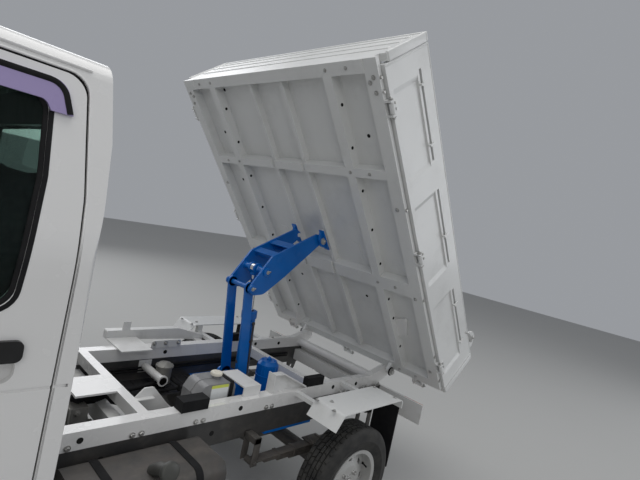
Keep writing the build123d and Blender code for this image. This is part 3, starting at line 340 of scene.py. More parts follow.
def from_front(nodes, y, z, way=1):
    return skin(nodes, (RAY_FRONT if way > 0 else RAY_REAR, y, z), (way, 0, 0))


def on_side(sign, rows, nodes, step=18.0, inner=0.0, pull=0.0):
    """Points along an outline in x and z, put on the cab's side as it is a pull nearer to the middle."""
    loop = spaced(rounded(rows), step)
    centre = sum(loop, Vector((0, 0))) / len(loop)
    made = []
    for p in loop:
        q = p + (centre - p).normalized() * pull
        found = from_side(sign, nodes, q.x, q.y)
        if found is None or abs(found.y) < CAB_HALF_WIDTH - 200:
            found = made[-1] if made else Vector((q.x, sign * CAB_HALF_WIDTH, q.y))
            found = found + Vector((0, sign * inner, 0))
        made.append(Vector((p.x, found.y - sign * inner, p.y)))
    return made


def on_front(rows, nodes, step=20.0, way=1, grow=0.0):
    """Points along an outline in y and z, put on the cab's front or, with way -1, on its back."""
    loop = spaced(rounded(rows), step)
    centre = sum(loop, Vector((0, 0))) / len(loop)
    made = []
    for p in loop:
        q = p + (p - centre).normalized() * grow
        found = from_front(nodes, q.x, q.y, way)
        x = found.x if found is not None else (made[-1].x if made else 0)
        made.append(Vector((x, q.x, q.y)))
    return made


# Materials
class Graph:
    """A material and the nodes that feed its surface. A socket takes a value or another node's output."""

    def __init__(self, name, base, rough=0.5, metal=0.0, coat=0.0, coat_rough=0.05, spec=0.5, trans=0.0,
                 ior=1.45):
        self.material = bpy.data.materials.new(name)
        self.material.use_nodes = True
        self.tree = self.material.node_tree
        self.surface = self.tree.nodes["Principled BSDF"]
        self.put(self.surface, {
            "Base Color": (*base, 1), "Roughness": rough, "Metallic": metal, "Coat Weight": coat,
            "Coat Roughness": coat_rough, "Specular IOR Level": spec, "Transmission Weight": trans, "IOR": ior})
        self.place = self.add("TexCoord", {}, "Object")

    def put(self, node, values):
        for socket, value in values.items():
            if isinstance(value, bpy.types.NodeSocket):
                self.tree.links.new(value, node.inputs[socket])
            else:
                node.inputs[socket].default_value = value

    def add(self, kind, values, output, **settings):
        """One output of a new node with these settings and these values on its sockets."""
        node = self.tree.nodes.new("ShaderNode" + kind)
        for setting, value in settings.items():
            setattr(node, setting, value)
        self.put(node, values)
        return node.outputs[output]

    def axis(self, name):
        return self.add("SeparateXYZ", {"Vector": self.place}, name)

    def noise(self, scale, detail=4.0, roughness=0.55):
        values = {"Vector": self.place, "Scale": scale, "Detail": detail, "Roughness": roughness}
        return self.add("TexNoise", values, "Fac")

    def span(self, value, low, high, start=0.0, end=1.0):
        """Start below low and end above high, with an even change between."""
        values = {"Value": value, "From Min": low, "From Max": high, "To Min": start, "To Max": end}
        return self.add("MapRange", values, "Result")

    def blend(self, colour, other, factor):
        values = {"A": colour, "B": (*other, 1), "Factor": factor}
        return self.add("Mix", values, "Result", data_type="RGBA")

    def ramp(self, value, stops, interpolation="LINEAR"):
        """A colour that follows a value, from rows of (value, colour)."""
        made = self.add("ValToRGB", {"Fac": value}, "Color")
        ramp = made.node.color_ramp
        ramp.interpolation = interpolation
        ramp.elements.remove(ramp.elements[1])
        ramp.elements[0].position = stops[0][0]
        ramp.elements[0].color = (*stops[0][1], 1)
        for place, colour in stops[1:]:
            ramp.elements.new(place).color = (*colour, 1)
        return made

    def relief(self, strength, distance, height):
        """A bump, over those that the surface already has."""
        values = {"Strength": strength, "Distance": distance, "Height": height}
        normal = self.surface.inputs["Normal"]
        if normal.is_linked:
            values["Normal"] = normal.links[0].from_socket
        self.put(self.surface, {"Normal": self.add("Bump", values, "Normal")})

    def ribs(self, scale, way, strength, distance):
        wave = self.add("TexWave", {"Scale": scale, "Vector": self.place}, "Fac", bands_direction=way)
        self.relief(strength, distance, wave)


def shader(name, base, rough=0.5, vary=None, tint=(0.5, 0.5, 0.5), rough_vary=0.0, rough_scale=8.0, bump=None,
           bump_dist=0.0004, dents=None, dirt=None, dirt_and_shade_color=(0.22, 0.2, 0.17), low_dirt_and_shade=None, weave=None,
           swap=None, **surface):
    """A painted, moulded, cast or woven surface.

    vary, bump, dents, dirt and weave are (amount, scale): vary mixes in the tint by large soft noise, dirt
    its colour by fine noise. The low band argument is (amount, top): more of that colour from that height down
    to the ground, partly road grime and partly painted shade near the ground.
    swap is (axis, place, colour): beyond that place along the axis, the surface has the other colour.
    """
    g = Graph(name, base, rough, **surface)
    colour = (*base, 1)
    if vary:
        other = [c * (1 - vary[0]) + t * vary[0] for c, t in zip(base, tint)]
        colour = g.blend(colour, other, g.span(g.noise(vary[1]), 0.35, 0.68))
    if swap:
        axis, place, other = swap
        colour = g.blend(colour, other, g.span(g.axis(axis), place - 0.0005, place + 0.0005))
    if dirt:
        colour = g.blend(colour, dirt_and_shade_color, g.span(g.noise(dirt[1], 8.0, 0.7), 0.52, 0.78, 0.0, dirt[0]))
    # darker towards the ground in the dirt colour: partly road grime, partly painted shade near the ground in
    # place of ambient occlusion
    if low_dirt_and_shade:
        scale = dirt[1] if dirt else DIRT_SCALE
        grain = g.span(g.noise(scale * 0.6, 6.0, 0.65), 0.3, 0.7, 0.35, 1.0)
        fall = g.span(g.axis("Z"), 0.05, low_dirt_and_shade[1], low_dirt_and_shade[0], 0.0)
        dirt_and_shade_mask = g.add("Math", {0: fall, 1: grain}, "Value", operation="MULTIPLY")
        colour = g.blend(colour, dirt_and_shade_color, dirt_and_shade_mask)
    g.put(g.surface, {"Base Color": colour})
    if rough_vary:
        value = g.span(g.noise(rough_scale), 0.3, 0.7, rough - rough_vary, rough + rough_vary)
        g.put(g.surface, {"Roughness": value})
    if bump:
        g.relief(bump[0], bump_dist, g.noise(bump[1], 3.0))
    if dents:
        g.relief(dents[0], bump_dist * 4, g.noise(dents[1], 3.0))
    if weave:
        g.relief(weave[0], 0.0005, g.add("TexChecker", {"Scale": weave[1], "Vector": g.place}, "Fac"))
    return g.material


def lamp_shader():
    """Headlamp seen through its clear lens: bright bowl, dark ring, fluted rim and an amber corner."""
    g = Graph("lens_head", (0.75, 0.77, 0.78), 0.12, metal=0.35, coat=1.0, coat_rough=0.02)
    across = g.add("Math", {0: g.axis("Y")}, "Value", operation="ABSOLUTE")
    flat = g.add("CombineXYZ", {"Y": across, "Z": g.axis("Z")}, "Vector")
    far = g.add("VectorMath", {0: flat, 1: (0.0, 0.545, 0.716)}, "Value", operation="DISTANCE")
    bowl = g.ramp(far, [
        (0.0, (0.95, 0.93, 0.85)), (0.012, (0.95, 0.93, 0.85)), (0.016, (0.12, 0.12, 0.12)),
        (0.024, (0.6, 0.6, 0.6)), (0.05, (0.95, 0.95, 0.95)), (0.058, (0.25, 0.25, 0.26)),
        (0.064, (0.7, 0.72, 0.74)), (1.0, (0.62, 0.64, 0.66))])
    colour = g.blend(bowl, (0.85, 0.32, 0.03), g.span(across, 0.617, 0.619))
    g.put(g.surface, {"Base Color": colour})
    g.ribs(28.0, "Y", 0.25, 0.0015)
    return g.material


def tail_shader():
    """Tail lamp lens: amber outer end, red middle, clear inner end, with moulded ribs."""
    g = Graph("lens_tail", (0.5, 0.012, 0.01), 0.15, coat=1.0, coat_rough=0.03)
    across = g.add("Math", {0: g.axis("Y")}, "Value", operation="ABSOLUTE")
    stops = [(0.0, (0.72, 0.74, 0.75)), (0.53, (0.5, 0.012, 0.01)), (0.605, (0.75, 0.2, 0.012))]
    g.put(g.surface, {"Base Color": g.ramp(across, stops, "CONSTANT")})
    g.ribs(40.0, "Z", 0.4, 0.001)
    return g.material


DIRT_SCALE = 14
LOW_TOP = 0.9
M = {
    "white": shader("paint_white", (0.79, 0.785, 0.775), 0.26, coat=0.7, vary=(0.06, 1.5), rough_vary=0.05,
                    bump=(0.1, 700), dents=(0.05, 9), low_dirt_and_shade=(0.25, 0.75)),
    "bed_white": shader("paint_bed", (0.74, 0.745, 0.735), 0.36, coat=0.3, coat_rough=0.15, vary=(0.12, 3),
                        tint=(0.55, 0.56, 0.55), rough_vary=0.08, bump=(0.2, 500), dents=(0.2, 12),
                        dirt=(0.14, 6)),
    # the frame paint's strong low band darkens the lower parts of the rails: partly road grime, partly painted
    # shade
    "frame_white": shader("paint_frame", (0.72, 0.72, 0.71), 0.42, coat=0.15, vary=(0.12, 5), rough_vary=0.1,
                          bump=(0.3, 350), dirt=(0.3, 11), low_dirt_and_shade=(0.7, 0.62)),
    "frame_black": shader("paint_chassis", (0.03, 0.031, 0.033), 0.42, coat=0.2, vary=(0.25, 6),
                          tint=(0.12, 0.11, 0.1), rough_vary=0.1, bump=(0.25, 350), dirt=(0.25, 9),
                          low_dirt_and_shade=(0.35, 0.6)),
    "blue": shader("paint_blue", (0.0, 0.14, 0.52), 0.36, coat=0.35, coat_rough=0.1, spec=0.3, vary=(0.25, 7),
                   tint=(0.0, 0.05, 0.25), rough_vary=0.06, bump=(0.25, 400), dents=(0.1, 25),
                   dirt=(0.06, 20), dirt_and_shade_color=(0.1, 0.12, 0.16)),
    "chrome": shader("chrome_rod", (0.75, 0.75, 0.77), 0.12, metal=1.0, rough_vary=0.05, rough_scale=60,
                     bump=(0.04, 900)),
    "rubber": shader("rubber_black", (0.009, 0.009, 0.01), 0.75, spec=0.25, vary=(0.2, 30),
                     tint=(0.03, 0.03, 0.03), bump=(0.3, 900)),
    "plastic": shader("plastic_black", (0.02, 0.02, 0.022), 0.5, vary=(0.1, 20), tint=(0.1, 0.1, 0.1),
                      bump=(0.35, 1500), bump_dist=0.0002),
    "fittings": shader("plastic_visor", (0.009, 0.009, 0.01), 0.3, coat=0.35, coat_rough=0.1, spec=0.3,
                       vary=(0.1, 12), tint=(0.06, 0.06, 0.06), swap=("Z", 1.3, (0.36, 0.30, 0.52)),
                       bump=(0.05, 60), rough_vary=0.04),
    "glass": shader("glass_green", (0.36, 0.46, 0.42), 0.02, trans=1.0, ior=1.2, rough_vary=0.01,
                    rough_scale=2),
    "steel_dark": shader("steel_black", (0.035, 0.035, 0.037), 0.5, vary=(0.3, 12), tint=(0.15, 0.12, 0.1),
                         bump=(0.3, 300), dirt=(0.3, DIRT_SCALE), low_dirt_and_shade=(0.45, LOW_TOP)),
    "cast": shader("cast_metal", (0.3, 0.3, 0.29), 0.55, metal=0.6, vary=(0.3, 10), tint=(0.15, 0.13, 0.1),
                   bump=(0.5, 260), dirt=(0.35, DIRT_SCALE), low_dirt_and_shade=(0.4, LOW_TOP)),
    "steel": shader("bare_steel", (0.3, 0.28, 0.26), 0.45, metal=0.8, vary=(0.4, 9), tint=(0.2, 0.12, 0.07),
                    bump=(0.3, 200), dirt=(0.3, DIRT_SCALE), low_dirt_and_shade=(0.3, LOW_TOP)),
    "zinc": shader("zinc_bolts", (0.52, 0.52, 0.51), 0.35, metal=0.8, vary=(0.3, 40), tint=(0.3, 0.28, 0.24),
                   bump=(0.2, 600)),
    "tank": shader("tank_grey", (0.2, 0.203, 0.21), 0.38, coat=0.2, vary=(0.2, 15), bump=(0.2, 500),
                   dirt=(0.15, DIRT_SCALE), low_dirt_and_shade=(0.3, LOW_TOP)),
    "tank_green": shader("tank_black", (0.03, 0.033, 0.032), 0.45, vary=(0.2, 10), tint=(0.1, 0.11, 0.1),
                         bump=(0.25, 400), low_dirt_and_shade=(0.5, LOW_TOP)),
    "lamp_red": tail_shader(),
    "lamp_clear": lamp_shader(),
    "amber": shader("lens_amber", (0.8, 0.28, 0.02), 0.15, coat=1.0, bump=(0.3, 300), rough_vary=0.04),
    "silver": shader("rim_silver", (0.56, 0.56, 0.55), 0.35, metal=0.5, coat=0.2, rough_vary=0.08,
                     dirt=(0.2, DIRT_SCALE), low_dirt_and_shade=(0.45, 0.4), bump=(0.15, 500)),
    "cloth": shader("seat_cloth", (0.085, 0.088, 0.1), 0.9, vary=(0.35, 60), tint=(0.16, 0.16, 0.18),
                    weave=(0.7, 700), bump=(0.5, 1400)),
    "vinyl": shader("trim_vinyl", (0.17, 0.17, 0.175), 0.6, vary=(0.12, 25), bump=(0.5, 1100),
                    bump_dist=0.0003, rough_vary=0.05),
    "liner": shader("headliner", (0.42, 0.42, 0.4), 0.8, vary=(0.12, 14), bump=(0.4, 800)),
    "mat": shader("floor_mat", (0.03, 0.03, 0.031), 0.75, vary=(0.2, 25), tint=(0.12, 0.11, 0.1),
                  weave=(0.5, 160), dirt=(0.2, DIRT_SCALE)),
    "mirror": shader("mirror_glass", (0.85, 0.87, 0.88), 0.02, metal=1.0, rough_vary=0.01),
    "cap_white": shader("cap_plastic", (0.8, 0.76, 0.66), 0.4, vary=(0.15, 30), bump=(0.2, 500)),
    "label": shader("label_blank", (0.74, 0.76, 0.76), 0.3, coat=0.4, vary=(0.15, 40),
                    swap=("Z", 0.6405, (0.62, 0.68, 0.1)), bump=(0.05, 300)),
    "tyre": shader("tyre_rubber", (0.018, 0.018, 0.018), 0.72, vary=(0.3, 20), tint=(0.1, 0.095, 0.085),
                   bump=(0.3, 500), low_dirt_and_shade=(0.18, 0.35)),
    # dark surfaces on holes and slots: painted shade, the shade inside each hole or groove painted on
    "hole": shader("painted_hole_shade", (0.006, 0.006, 0.006), 0.9, vary=(0.3, 80), tint=(0.02, 0.02, 0.02)),
}
SLOTS = {
    "body_paint": "white", "frame_paint": "frame_white", "hoist_paint": "blue", "chrome_rod": "chrome",
    "rubber": "rubber", "glass": "glass", "lamp_clear": "lamp_clear", "lamp_red": "lamp_red",
    "trim_plastic": "plastic", "seat_cloth": "cloth", "cast_metal": "cast", "dark_steel": "steel_dark",
    "bare_steel": "steel", "tank_plastic": "tank", "tyre": "tyre", "rim_paint": "silver",
}
NODE_LOOKS = {n: "bed_white" for n in (
    "bed_floor", "bed_sills", "bed_crossmembers", "bed_headboard", "gate_hinges", "tailgate", "side_gate_l",
    "side_gate_r", "rear_fenders")}
NODE_LOOKS.update({
    "door_fittings_l": "fittings", "door_fittings_r": "fittings", "frame_rails": "frame_black"})
LOOK_SLOTS = {look: slot for slot, look in SLOTS.items()}
LOOK_SLOTS.update({
    "frame_black": "frame_paint", "bed_white": "body_paint", "fittings": "trim_plastic",
    "zinc": "bare_steel", "tank_green": "dark_steel", "amber": "lamp_clear", "vinyl": "trim_plastic",
    "liner": "trim_plastic", "mat": "rubber", "mirror": "glass", "cap_white": "tank_plastic",
    "label": "tank_plastic", "hole": "trim_plastic",
})


def dress_nodes():
    for part in frame["record"]["subparts"]:
        node = frame["nodes"][part["node"]]
        node.data.materials.clear()
        node.data.materials.append(M[NODE_LOOKS.get(part["node"], SLOTS[part["material_slot"]])])


# Wheels
def tyre_profile():
    """The tyre's section as (radius, y, part of the tread), from one bead over the tread to the other."""
    wall = [(152, 55), (163, 55.5), (168, 57), (180, 63), (196, 69), (206, 71.6), (208, 73), (214, 73),
            (216, 72), (232, 71), (246, 68.5), (254, 65.5), (260, 61), (264.5, 56.5)]
    tread = [(267.5, 52, 1), (267.8, 44, 1), (268, 37, 1), (261, 36, 2), (261, 31, 2), (268, 30, 3),
             (268, 21, 3), (268, 13, 3), (261, 12, 2), (261, 8, 2), (268, 7, 4), (268, 0, 4)]
    half = [(radius, y, 0) for radius, y in wall] + tread
    return half + [(radius, -y, kind) for radius, y, kind in reversed(half[:-1])]


def make_tyre(end, side):
    """The tread is cut into blocks: shoulder (1), outer rib (3) and middle rib (4), between grooves (2)."""
    centre = Vector((AXLES_X[end], SIDES[side] * WHEEL_Y, TYRE_RADIUS))
    blocks, cut = 46, 5.5
    slants = {3: 0.35, 4: 0.7}
    rings = []
    for k in range(blocks):
        for place, low in ((0.0, 0), (0.03, 0), (0.06, 1), (0.15, 1), (0.18, 0), (0.6, 0)):
            ring = []
            for radius, y, kind in tyre_profile():
                angle = (k + place + slants.get(kind, 0)) * 2 * pi / blocks + abs(y) * 0.0012 * (kind > 0)
                if low and (kind in (1, 3) or kind == 4 and place < 0.07):
                    radius -= cut
                ring.append(centre + Vector((radius * cos(angle), y, radius * sin(angle))))
            rings.append(ring)
    made = Shape().rings(rings, closed=True).make("tread_" + end + side, "wheel_" + end + side, "tyre", 40)
    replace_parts(made, "tyre_" + end + side)


def make_wheel_fittings(end, side):
    x, sign, body = AXLES_X[end], SIDES[side], "wheel_" + end + side
    nuts = Shape(sign=sign)
    for a, b in circle(4, 50, 45):
        at = (x + a, WHEEL_Y + 30, TYRE_RADIUS + b)
        nuts.lathe([(11, 0), (11, 3), (9.5, 5)], at, OUT, 16)
        nuts.lathe([(9.6, 3), (9.6, 14), (7.5, 18), (3, 19.5)], at, OUT, 6)
    hub = (x, WHEEL_Y + 29, TYRE_RADIUS)
    nuts.lathe([(24, 8), (24, 14), (22, 18), (15, 20.5), (5, 21)], hub, OUT, 32)
    nuts.make("wheel_nuts_" + end + side, body, "zinc")
    [(a, b)] = circle(1, 132, 22.5)
    valve = Shape(sign=sign).lathe(
        [(6, 0), (6, 6), (3.5, 9), (3.5, 24), (4.5, 25), (4.5, 33), (3, 34)],
        (x + a, WHEEL_Y + 12, TYRE_RADIUS + b), (-0.2, 1, -0.1), 12)
    valve.make("wheel_valve_" + end + side, body, "rubber")


# Cab
def make_door_trim(side):
    sign = SIDES[side]
    door, out = "door_" + side, (0, sign, 0)
    seal = strip(Shape(), on_side(sign, window_rows(5.5), [door]), out, 11, 1.6)
    strip(seal, on_side(sign, window_rows(-2.0), ["door_glass_" + side]), out, 15, 7.5, sink=0.5)
    seal.make("window_seal_" + side, door, "rubber", 50)
    gap = on_side(sign, door_rows(4), [door], 24.0, inner=19.0, pull=22.0)
    Shape().tube(gap, 8.5, 8, closed=True).make("door_seal_" + side, "chassis", "rubber", 60)
    gap = on_side(sign, door_rows(7.6), [door], 24.0, inner=4.0, pull=26.0)
    flange = strip(Shape(), gap, out, 4.6, 2, sink=18, crown=0.3)
    flange.make("door_flange_" + side, "chassis", "white", 50)
    lining("door_card_" + side, door, door, "vinyl", (0, -sign, 0), 0.75, 2.0, lambda p: p.z < 1.12)
    card = Shape(sign=sign)
    y = CAB_HALF_WIDTH - 52
    card.box(800, 1080, y - 42, y, 925, 965, 12, 3)
    card.box(560, 1120, y - 24, y, 660, 700, 8, 2)
    card.tube([(700, y, 850), (700, y - 26, 850)], 9, 12)
    card.tube([(700, y - 24, 850), (760, y - 30, 820)], 6, 10)
    card.tube([(760, y - 26, 820), (760, y - 56, 820)], 9, 12)
    card.make("door_card_parts_" + side, door, "plastic", 50)
    top, rear = WINDOW_TOP + 36, DOOR_REAR - 46
    rows = [(690, top - 58, 0), (742, top - 6, 46), (rear - 26, top - 6, 40), (rear - 7, top - 72, 0)]
    hits = [from_side(sign, ["door_fittings_" + side], p.x, p.y) for p in spaced(rounded(rows), 16, False)]
    edge = strip(Shape(), [p for p in hits if p is not None], out, 13, 3, closed=False)
    edge.make("visor_edge_" + side, door, "rubber", 50)
    at = from_side(sign, [door], 1024, 1028)
    lock = Shape().lathe([(12, -2), (12, 1.5), (10, 3), (8.5, 3), (8.5, 2)], at, out, 24)
    lock.box(at.x - 1, at.x + 1, at.y, at.y + sign * 3.2, at.z - 5, at.z + 5, 0.3, 1)
    lock.make("door_lock_" + side, door, "zinc")
    mirror = Shape(sign=sign).plate(rect(776, 854, 1151, 1319, 14), 484.2, 486.5, "x", 0.6)
    mirror.make("mirror_glass_" + side, door, "mirror")
    joint = Shape(sign=sign).lathe([(17, 0), (17, 14), (12, 20), (12, 30)], (455, 800, 1144), (0.05, 0, -1))
    joint.make("mirror_joint_" + side, door, "rubber")


def make_cab_sides(side):
    sign = SIDES[side]
    hits = [from_side(sign, ["cab_roof"], x, ROOF_SEAM + 12) for x in range(640, 1271, 21)]
    drip = strip(Shape(), [p for p in hits if p is not None], (0, sign, 0), 9, 6, closed=False)
    drip.make("drip_rail_" + side, "chassis", "white", 50)
    y = from_side(sign, ["cab_front"], 300, 700).y
    lamp = Shape().plate(rect(264, 336, 684, 716, 10), y - sign * 3, y + sign * 7, bevel=2)
    lamp.make("side_lamp_" + side, "chassis", "amber", 50)


def make_wipers(nodes):
    wiper = Shape()
    for foot_y, tip_y in ((-150, -520), (430, 20)):
        reach = tip_y - foot_y
        foot = from_front(nodes[1:], foot_y, 1000)
        wiper.lathe([(14, -4), (14, 6), (10, 14), (6, 18)], foot, (-0.9, 0, 0.5), 16)
        arm = [foot + Vector((-16, 0, 8))]
        for k in range(1, 9):
            at = from_front(nodes, foot_y + reach * k / 8 * 0.62, 1008 + 62 * k / 8)
            arm.append(at + Vector((-20 + k, 0, 4)))
        wiper.tube(arm, [6 - 0.35 * k for k in range(9)], 8)
        blade = []
        for k in range(13):
            at = from_front(nodes, foot_y + reach * (0.25 + 0.75 * k / 12), 1044 + 46 * k / 12)
            blade.append(at + Vector((-5, 0, 3)))
        strip(wiper, blade, (-1, 0, 0.6), 7, 9, sink=3, closed=False)
    wiper.make("wipers", "chassis", "plastic", 50)


def make_cab_front():
    nodes = ["cab_front", "cab_roof", "headlamps"]
    rows = [(-640, 1015, 60), (640, 1015, 60), (565, ROOF_SEAM - 32, 60), (-565, ROOF_SEAM - 32, 60)]
    seal = strip(Shape(), on_front(rows, nodes, 16, 1, 7), (-1, 0, 0.6), 24, 5, sink=8)
    seal.make("windshield_seal", "chassis", "rubber", 50)
    rows = [(-560, 1160, 50), (560, 1160, 50), (540, ROOF_SEAM - 112, 50), (-540, ROOF_SEAM - 112, 50)]
    seal = strip(Shape(), on_front(rows, ["cab_back", "cab_roof"], 16, -1, 7), REAR, 22, 4, sink=7)
    seal.make("rear_window_seal", "chassis", "rubber", 50)
    for side, sign in SIDES.items():
        rows = [(sign * 480, 640, 30), (sign * 655, 655, 30), (sign * 660, 800, 40), (sign * 470, 780, 30)]
        line = on_front(rows[::sign], nodes, 14)
        strip(Shape(), line, (-1, 0, 0), 8, 3, sink=5).make("lamp_rim_" + side, "chassis", "rubber", 50)
    sill_z = 985
    line = [from_front(nodes, y, sill_z) for y in range(-590, 600, 20)]
    cowl = strip(Shape(), [p for p in line if p is not None], (-1, 0, 1.2), 34, 4, closed=False, crown=0.15)
    for y in range(-500, 467, 46):
        at = from_front(nodes, y, sill_z)
        cowl.tube([(at.x - 4, y, at.z + 3), (at.x - 4, y + 26, at.z + 3)], 3, 6)
    cowl.make("cowl", "chassis", "plastic", 50)
    make_wipers(["windshield"] + nodes)
    mesh = Shape()
    for z in range(412, 493, 10):
        mesh.tube([(52, -330, z), (52, 330, z)], 2.2, 6)
    for k in range(33):
        y = -330 + 20.6 * k
        mesh.tube([(54, y, 404), (54, y, 500)], 2.0, 6)
    mesh.box(58, 62, -340, 340, 396, 502, 1)
    mesh.make("intake_mesh", "chassis", "plastic", 50)


def make_cab_inside():
    lining("headliner", "cab_roof", "chassis", "liner", DOWN)
    lining("back_lining", "cab_back", "chassis", "vinyl", (-1, 0, 0), 0.6, 3.0, lambda p: p.z > 0.6)
    lining("floor_mat", "cab_floor", "chassis", "mat", UP, 0.9, 5.0, lambda p: p.x < (640 + SHIFT) / 1000)
    dash = Shape().box(330, 452, 170, 470, 1006, 1052, 22, 4).box(452, 458, -150, 60, 900, 975, 3)
    for y in (-110, -45, 20):
        dash.lathe([(16, 0), (16, 10), (13, 14)], (456, y, 925), REAR)
    for y in (-560, -330, 500, 590):
        dash.box(450, 460, y - 42, y + 42, 925, 968, 4)
        for z in (930, 939, 948, 957):
            dash.box(458, 463, y - 36, y + 36, z, z + 3, 0.8, 1)
    dash.box(440, 458, -590, -210, 868, 908, 6)
    dash.tube([(600, 10, 590), (640, 4, 740), (665, 0, 850)], [9, 7, 7], 12)
    dash.lathe([(11, 0), (21, 12), (24, 26), (18, 40), (6, 45)], (664, 0, 842), (0.3, 0, 1))
    dash.lathe([(60, 0), (52, 22), (36, 30), (30, 52), (16, 60), (12, 84)], (603, 10, 590), (0.2, 0, 1), 28)
    dash.tube([(760, 20, 735), (700, 20, 790), (640, 20, 838)], [9, 9, 12], 12)
    for y in (240, 330, 430):
        dash.tube([(330, y, 800), (400, y, 680), (440, y, 660)], 6, 8)
        dash.box(432, 444, y - 24, y + 24, 628, 678, 4)
    dash.make("cab_controls", "chassis", "plastic", 50)
    dials = Shape()
    for y, radius in ((270, 34), (355, 34), (420, 20)):
        rows = [(radius, 0), (radius, 2.5), (radius - 3, 3.5), (radius - 4, 1)]
        dials.lathe(rows, (451, y, 1028), (1, 0, 0.15), 32)
    dials.make("dials", "chassis", "zinc")


def make_steering_wheel():
    centre, lean = Vector((640, 320, 1075)), Vector((0.55, 0, 0.835)).normalized()
    up = lean.cross(Vector(OUT))
    wheel = Shape()
    rim = [centre + Vector(OUT) * a + up * b for a, b in circle(72, 180)]
    wheel.tube(rim, [13.5 if k % 6 else 14.3 for k in range(72)], 14, closed=True)
    for angle in (0, pi, 1.25 * pi, 1.75 * pi):
        way = Vector(OUT) * cos(angle) + up * sin(angle)
        spoke = [centre + way * radius + lean * along for radius, along in ((40, -4), (110, -6), (176, 0))]
        wheel.tube(spoke, [13, 10, 9])
    wheel.lathe([(46, -30), (48, -6), (44, 6), (30, 13), (8, 15)], centre, lean, 40)
    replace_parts(wheel.make("wheel_smooth", "steering_wheel", "plastic", 60), "steering_wheel")


def swollen(block, frames=12):
    """Where the points of a closed mesh are once it has swollen as cloth."""
    cloth = block.modifiers.new("swell", "CLOTH")
    cloth.settings.use_pressure = True
    cloth.settings.uniform_pressure_force = 4.0
    cloth.settings.effector_weights.gravity = 0.0
    cloth.settings.quality = 4
    cloth.point_cache.frame_start = 1
    cloth.point_cache.frame_end = frames
    for at in range(1, frames + 1):
        bpy.context.scene.frame_set(at)
    mesh = block.evaluated_get(bpy.context.evaluated_depsgraph_get()).data
    points = [v.co.copy() for v in mesh.vertices]
    block.modifiers.clear()
    bpy.context.scene.frame_set(1)
    return points


def soft_block(name, rows, y0, y1, cap, channels):
    """A stuffed block of an outline in x and z, swollen by a cap at most, with sewn channels."""
    mesh = bpy.data.meshes.new(name)
    shape = Shape().plate(rows, y0, y1, bevel=0)
    shape.finish().to_mesh(mesh)
    shape.bm.free()
    block = link(name, mesh)
    remesh = block.modifiers.new("voxels", "REMESH")
    remesh.mode = "VOXEL"
    remesh.voxel_size = 0.009
    block.modifiers.new("smooth", "SMOOTH").iterations = 6
    start = bpy.data.meshes.new_from_object(block.evaluated_get(bpy.context.evaluated_depsgraph_get()))
    block.modifiers.clear()
    block.data = start
    before = [v.co.copy() for v in start.vertices]
    after = swollen(block)
    foot = min(p.z for p in before)
    middle, half = (y0 + y1) / 2000, (y1 - y0) / 2000
    front, seam_width, seam_depth = Vector((-0.35, 0, 0.94)), 0.022, 0.007
    bm = bmesh.new()
    bm.from_mesh(start)
    bm.normal_update()
    for v, p, q in zip(bm.verts, before, after):
        move = q - p
        if move.length > cap:
            move = move * (cap / move.length)
        v.co = p + move
        v.co.z = max(v.co.z, foot)
        across = (v.co.y - middle) / half
        sewn = max(exp(-((across - place) / seam_width) ** 2) for place in channels)
        if v.normal.dot(front) > 0.35 or v.normal.x < -0.6:
            v.co -= v.normal * seam_depth * sewn
    bpy.data.objects.remove(block)
    return bm


def make_seats():
    top = SEAT_BOX_TOP
    forms = {
        "cushion": [(700, top + 2, 12), (694, top + 142, 46), (900, top + 118, 30), (1092, top + 122, 40),
                    (1100, top + 2, 12)],
        "backrest": [(1098, top + 92, 34), (1186, top + 698, 44), (1262, top + 704, 40), (1262, top + 20, 20),
                     (1104, top + 20, 12)],
    }
    for form, rows in forms.items():
        base = soft_block(form, rows, 72, 588, 0.016, (-0.5, 0.5))
        for side, sign in SIDES.items():
            bm = base.copy()
            if sign < 0:
                for v in bm.verts:
                    v.co.y = -v.co.y
                bmesh.ops.reverse_faces(bm, faces=bm.faces)
            made = piece("seat_" + form + "_" + side, bm, "chassis", "cloth", 80)
            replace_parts(made, "seats")
        base.free()
    for rails in Shape().halves():
        for y in (150, 510):
            rails.box(720, 1180, y - 14, y + 14, 728, 734, 2)
    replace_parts(rails.make("seat_runners", "chassis", "steel_dark"), "seats")


# Bed
def make_bed_bolts():
    for bolts in Shape(bed).halves():
        for u, w in ((1755, 41), (1699, 41), (1171, 39), (650, 39), (250, 39), (60, 39)):
            bolts.bolt((u, 718, w), OUT, 7)
        for u, y in ((1760, 690), (1700, 690), (1741, 669), (1171, 675), (650, 675), (120, 675)):
            bolts.bolt((u, y, BED_UNDER), DOWN, 7)
        for u in (20, 690, 1338, 1806):
            for y in (445, 560):
                bolts.bolt((u, y, BED_UNDER), DOWN, 6)
        for u in GATE_HINGES:
            for end in (-1, 1):
                bolts.bolt((u + end * 34, 743, 42), (end, 0, 0), 8, 5)
        bolts.bolt((0, 401, 0), OUT, 15)
        bolts.lathe([(20, 0), (20, 8), (17, 10)], (890.6, 116, 16), OUT, 28)
        bolts.bolt((890.6, 126, 16), OUT, 8)
    for y in (-560, 0, 560):
        for end in (-1, 1):
            bolts.bolt((-55, y + end * 34, 42), (0, end, 0), 8, 5)
    bolts.make("bed_bolts", "bed", "zinc")


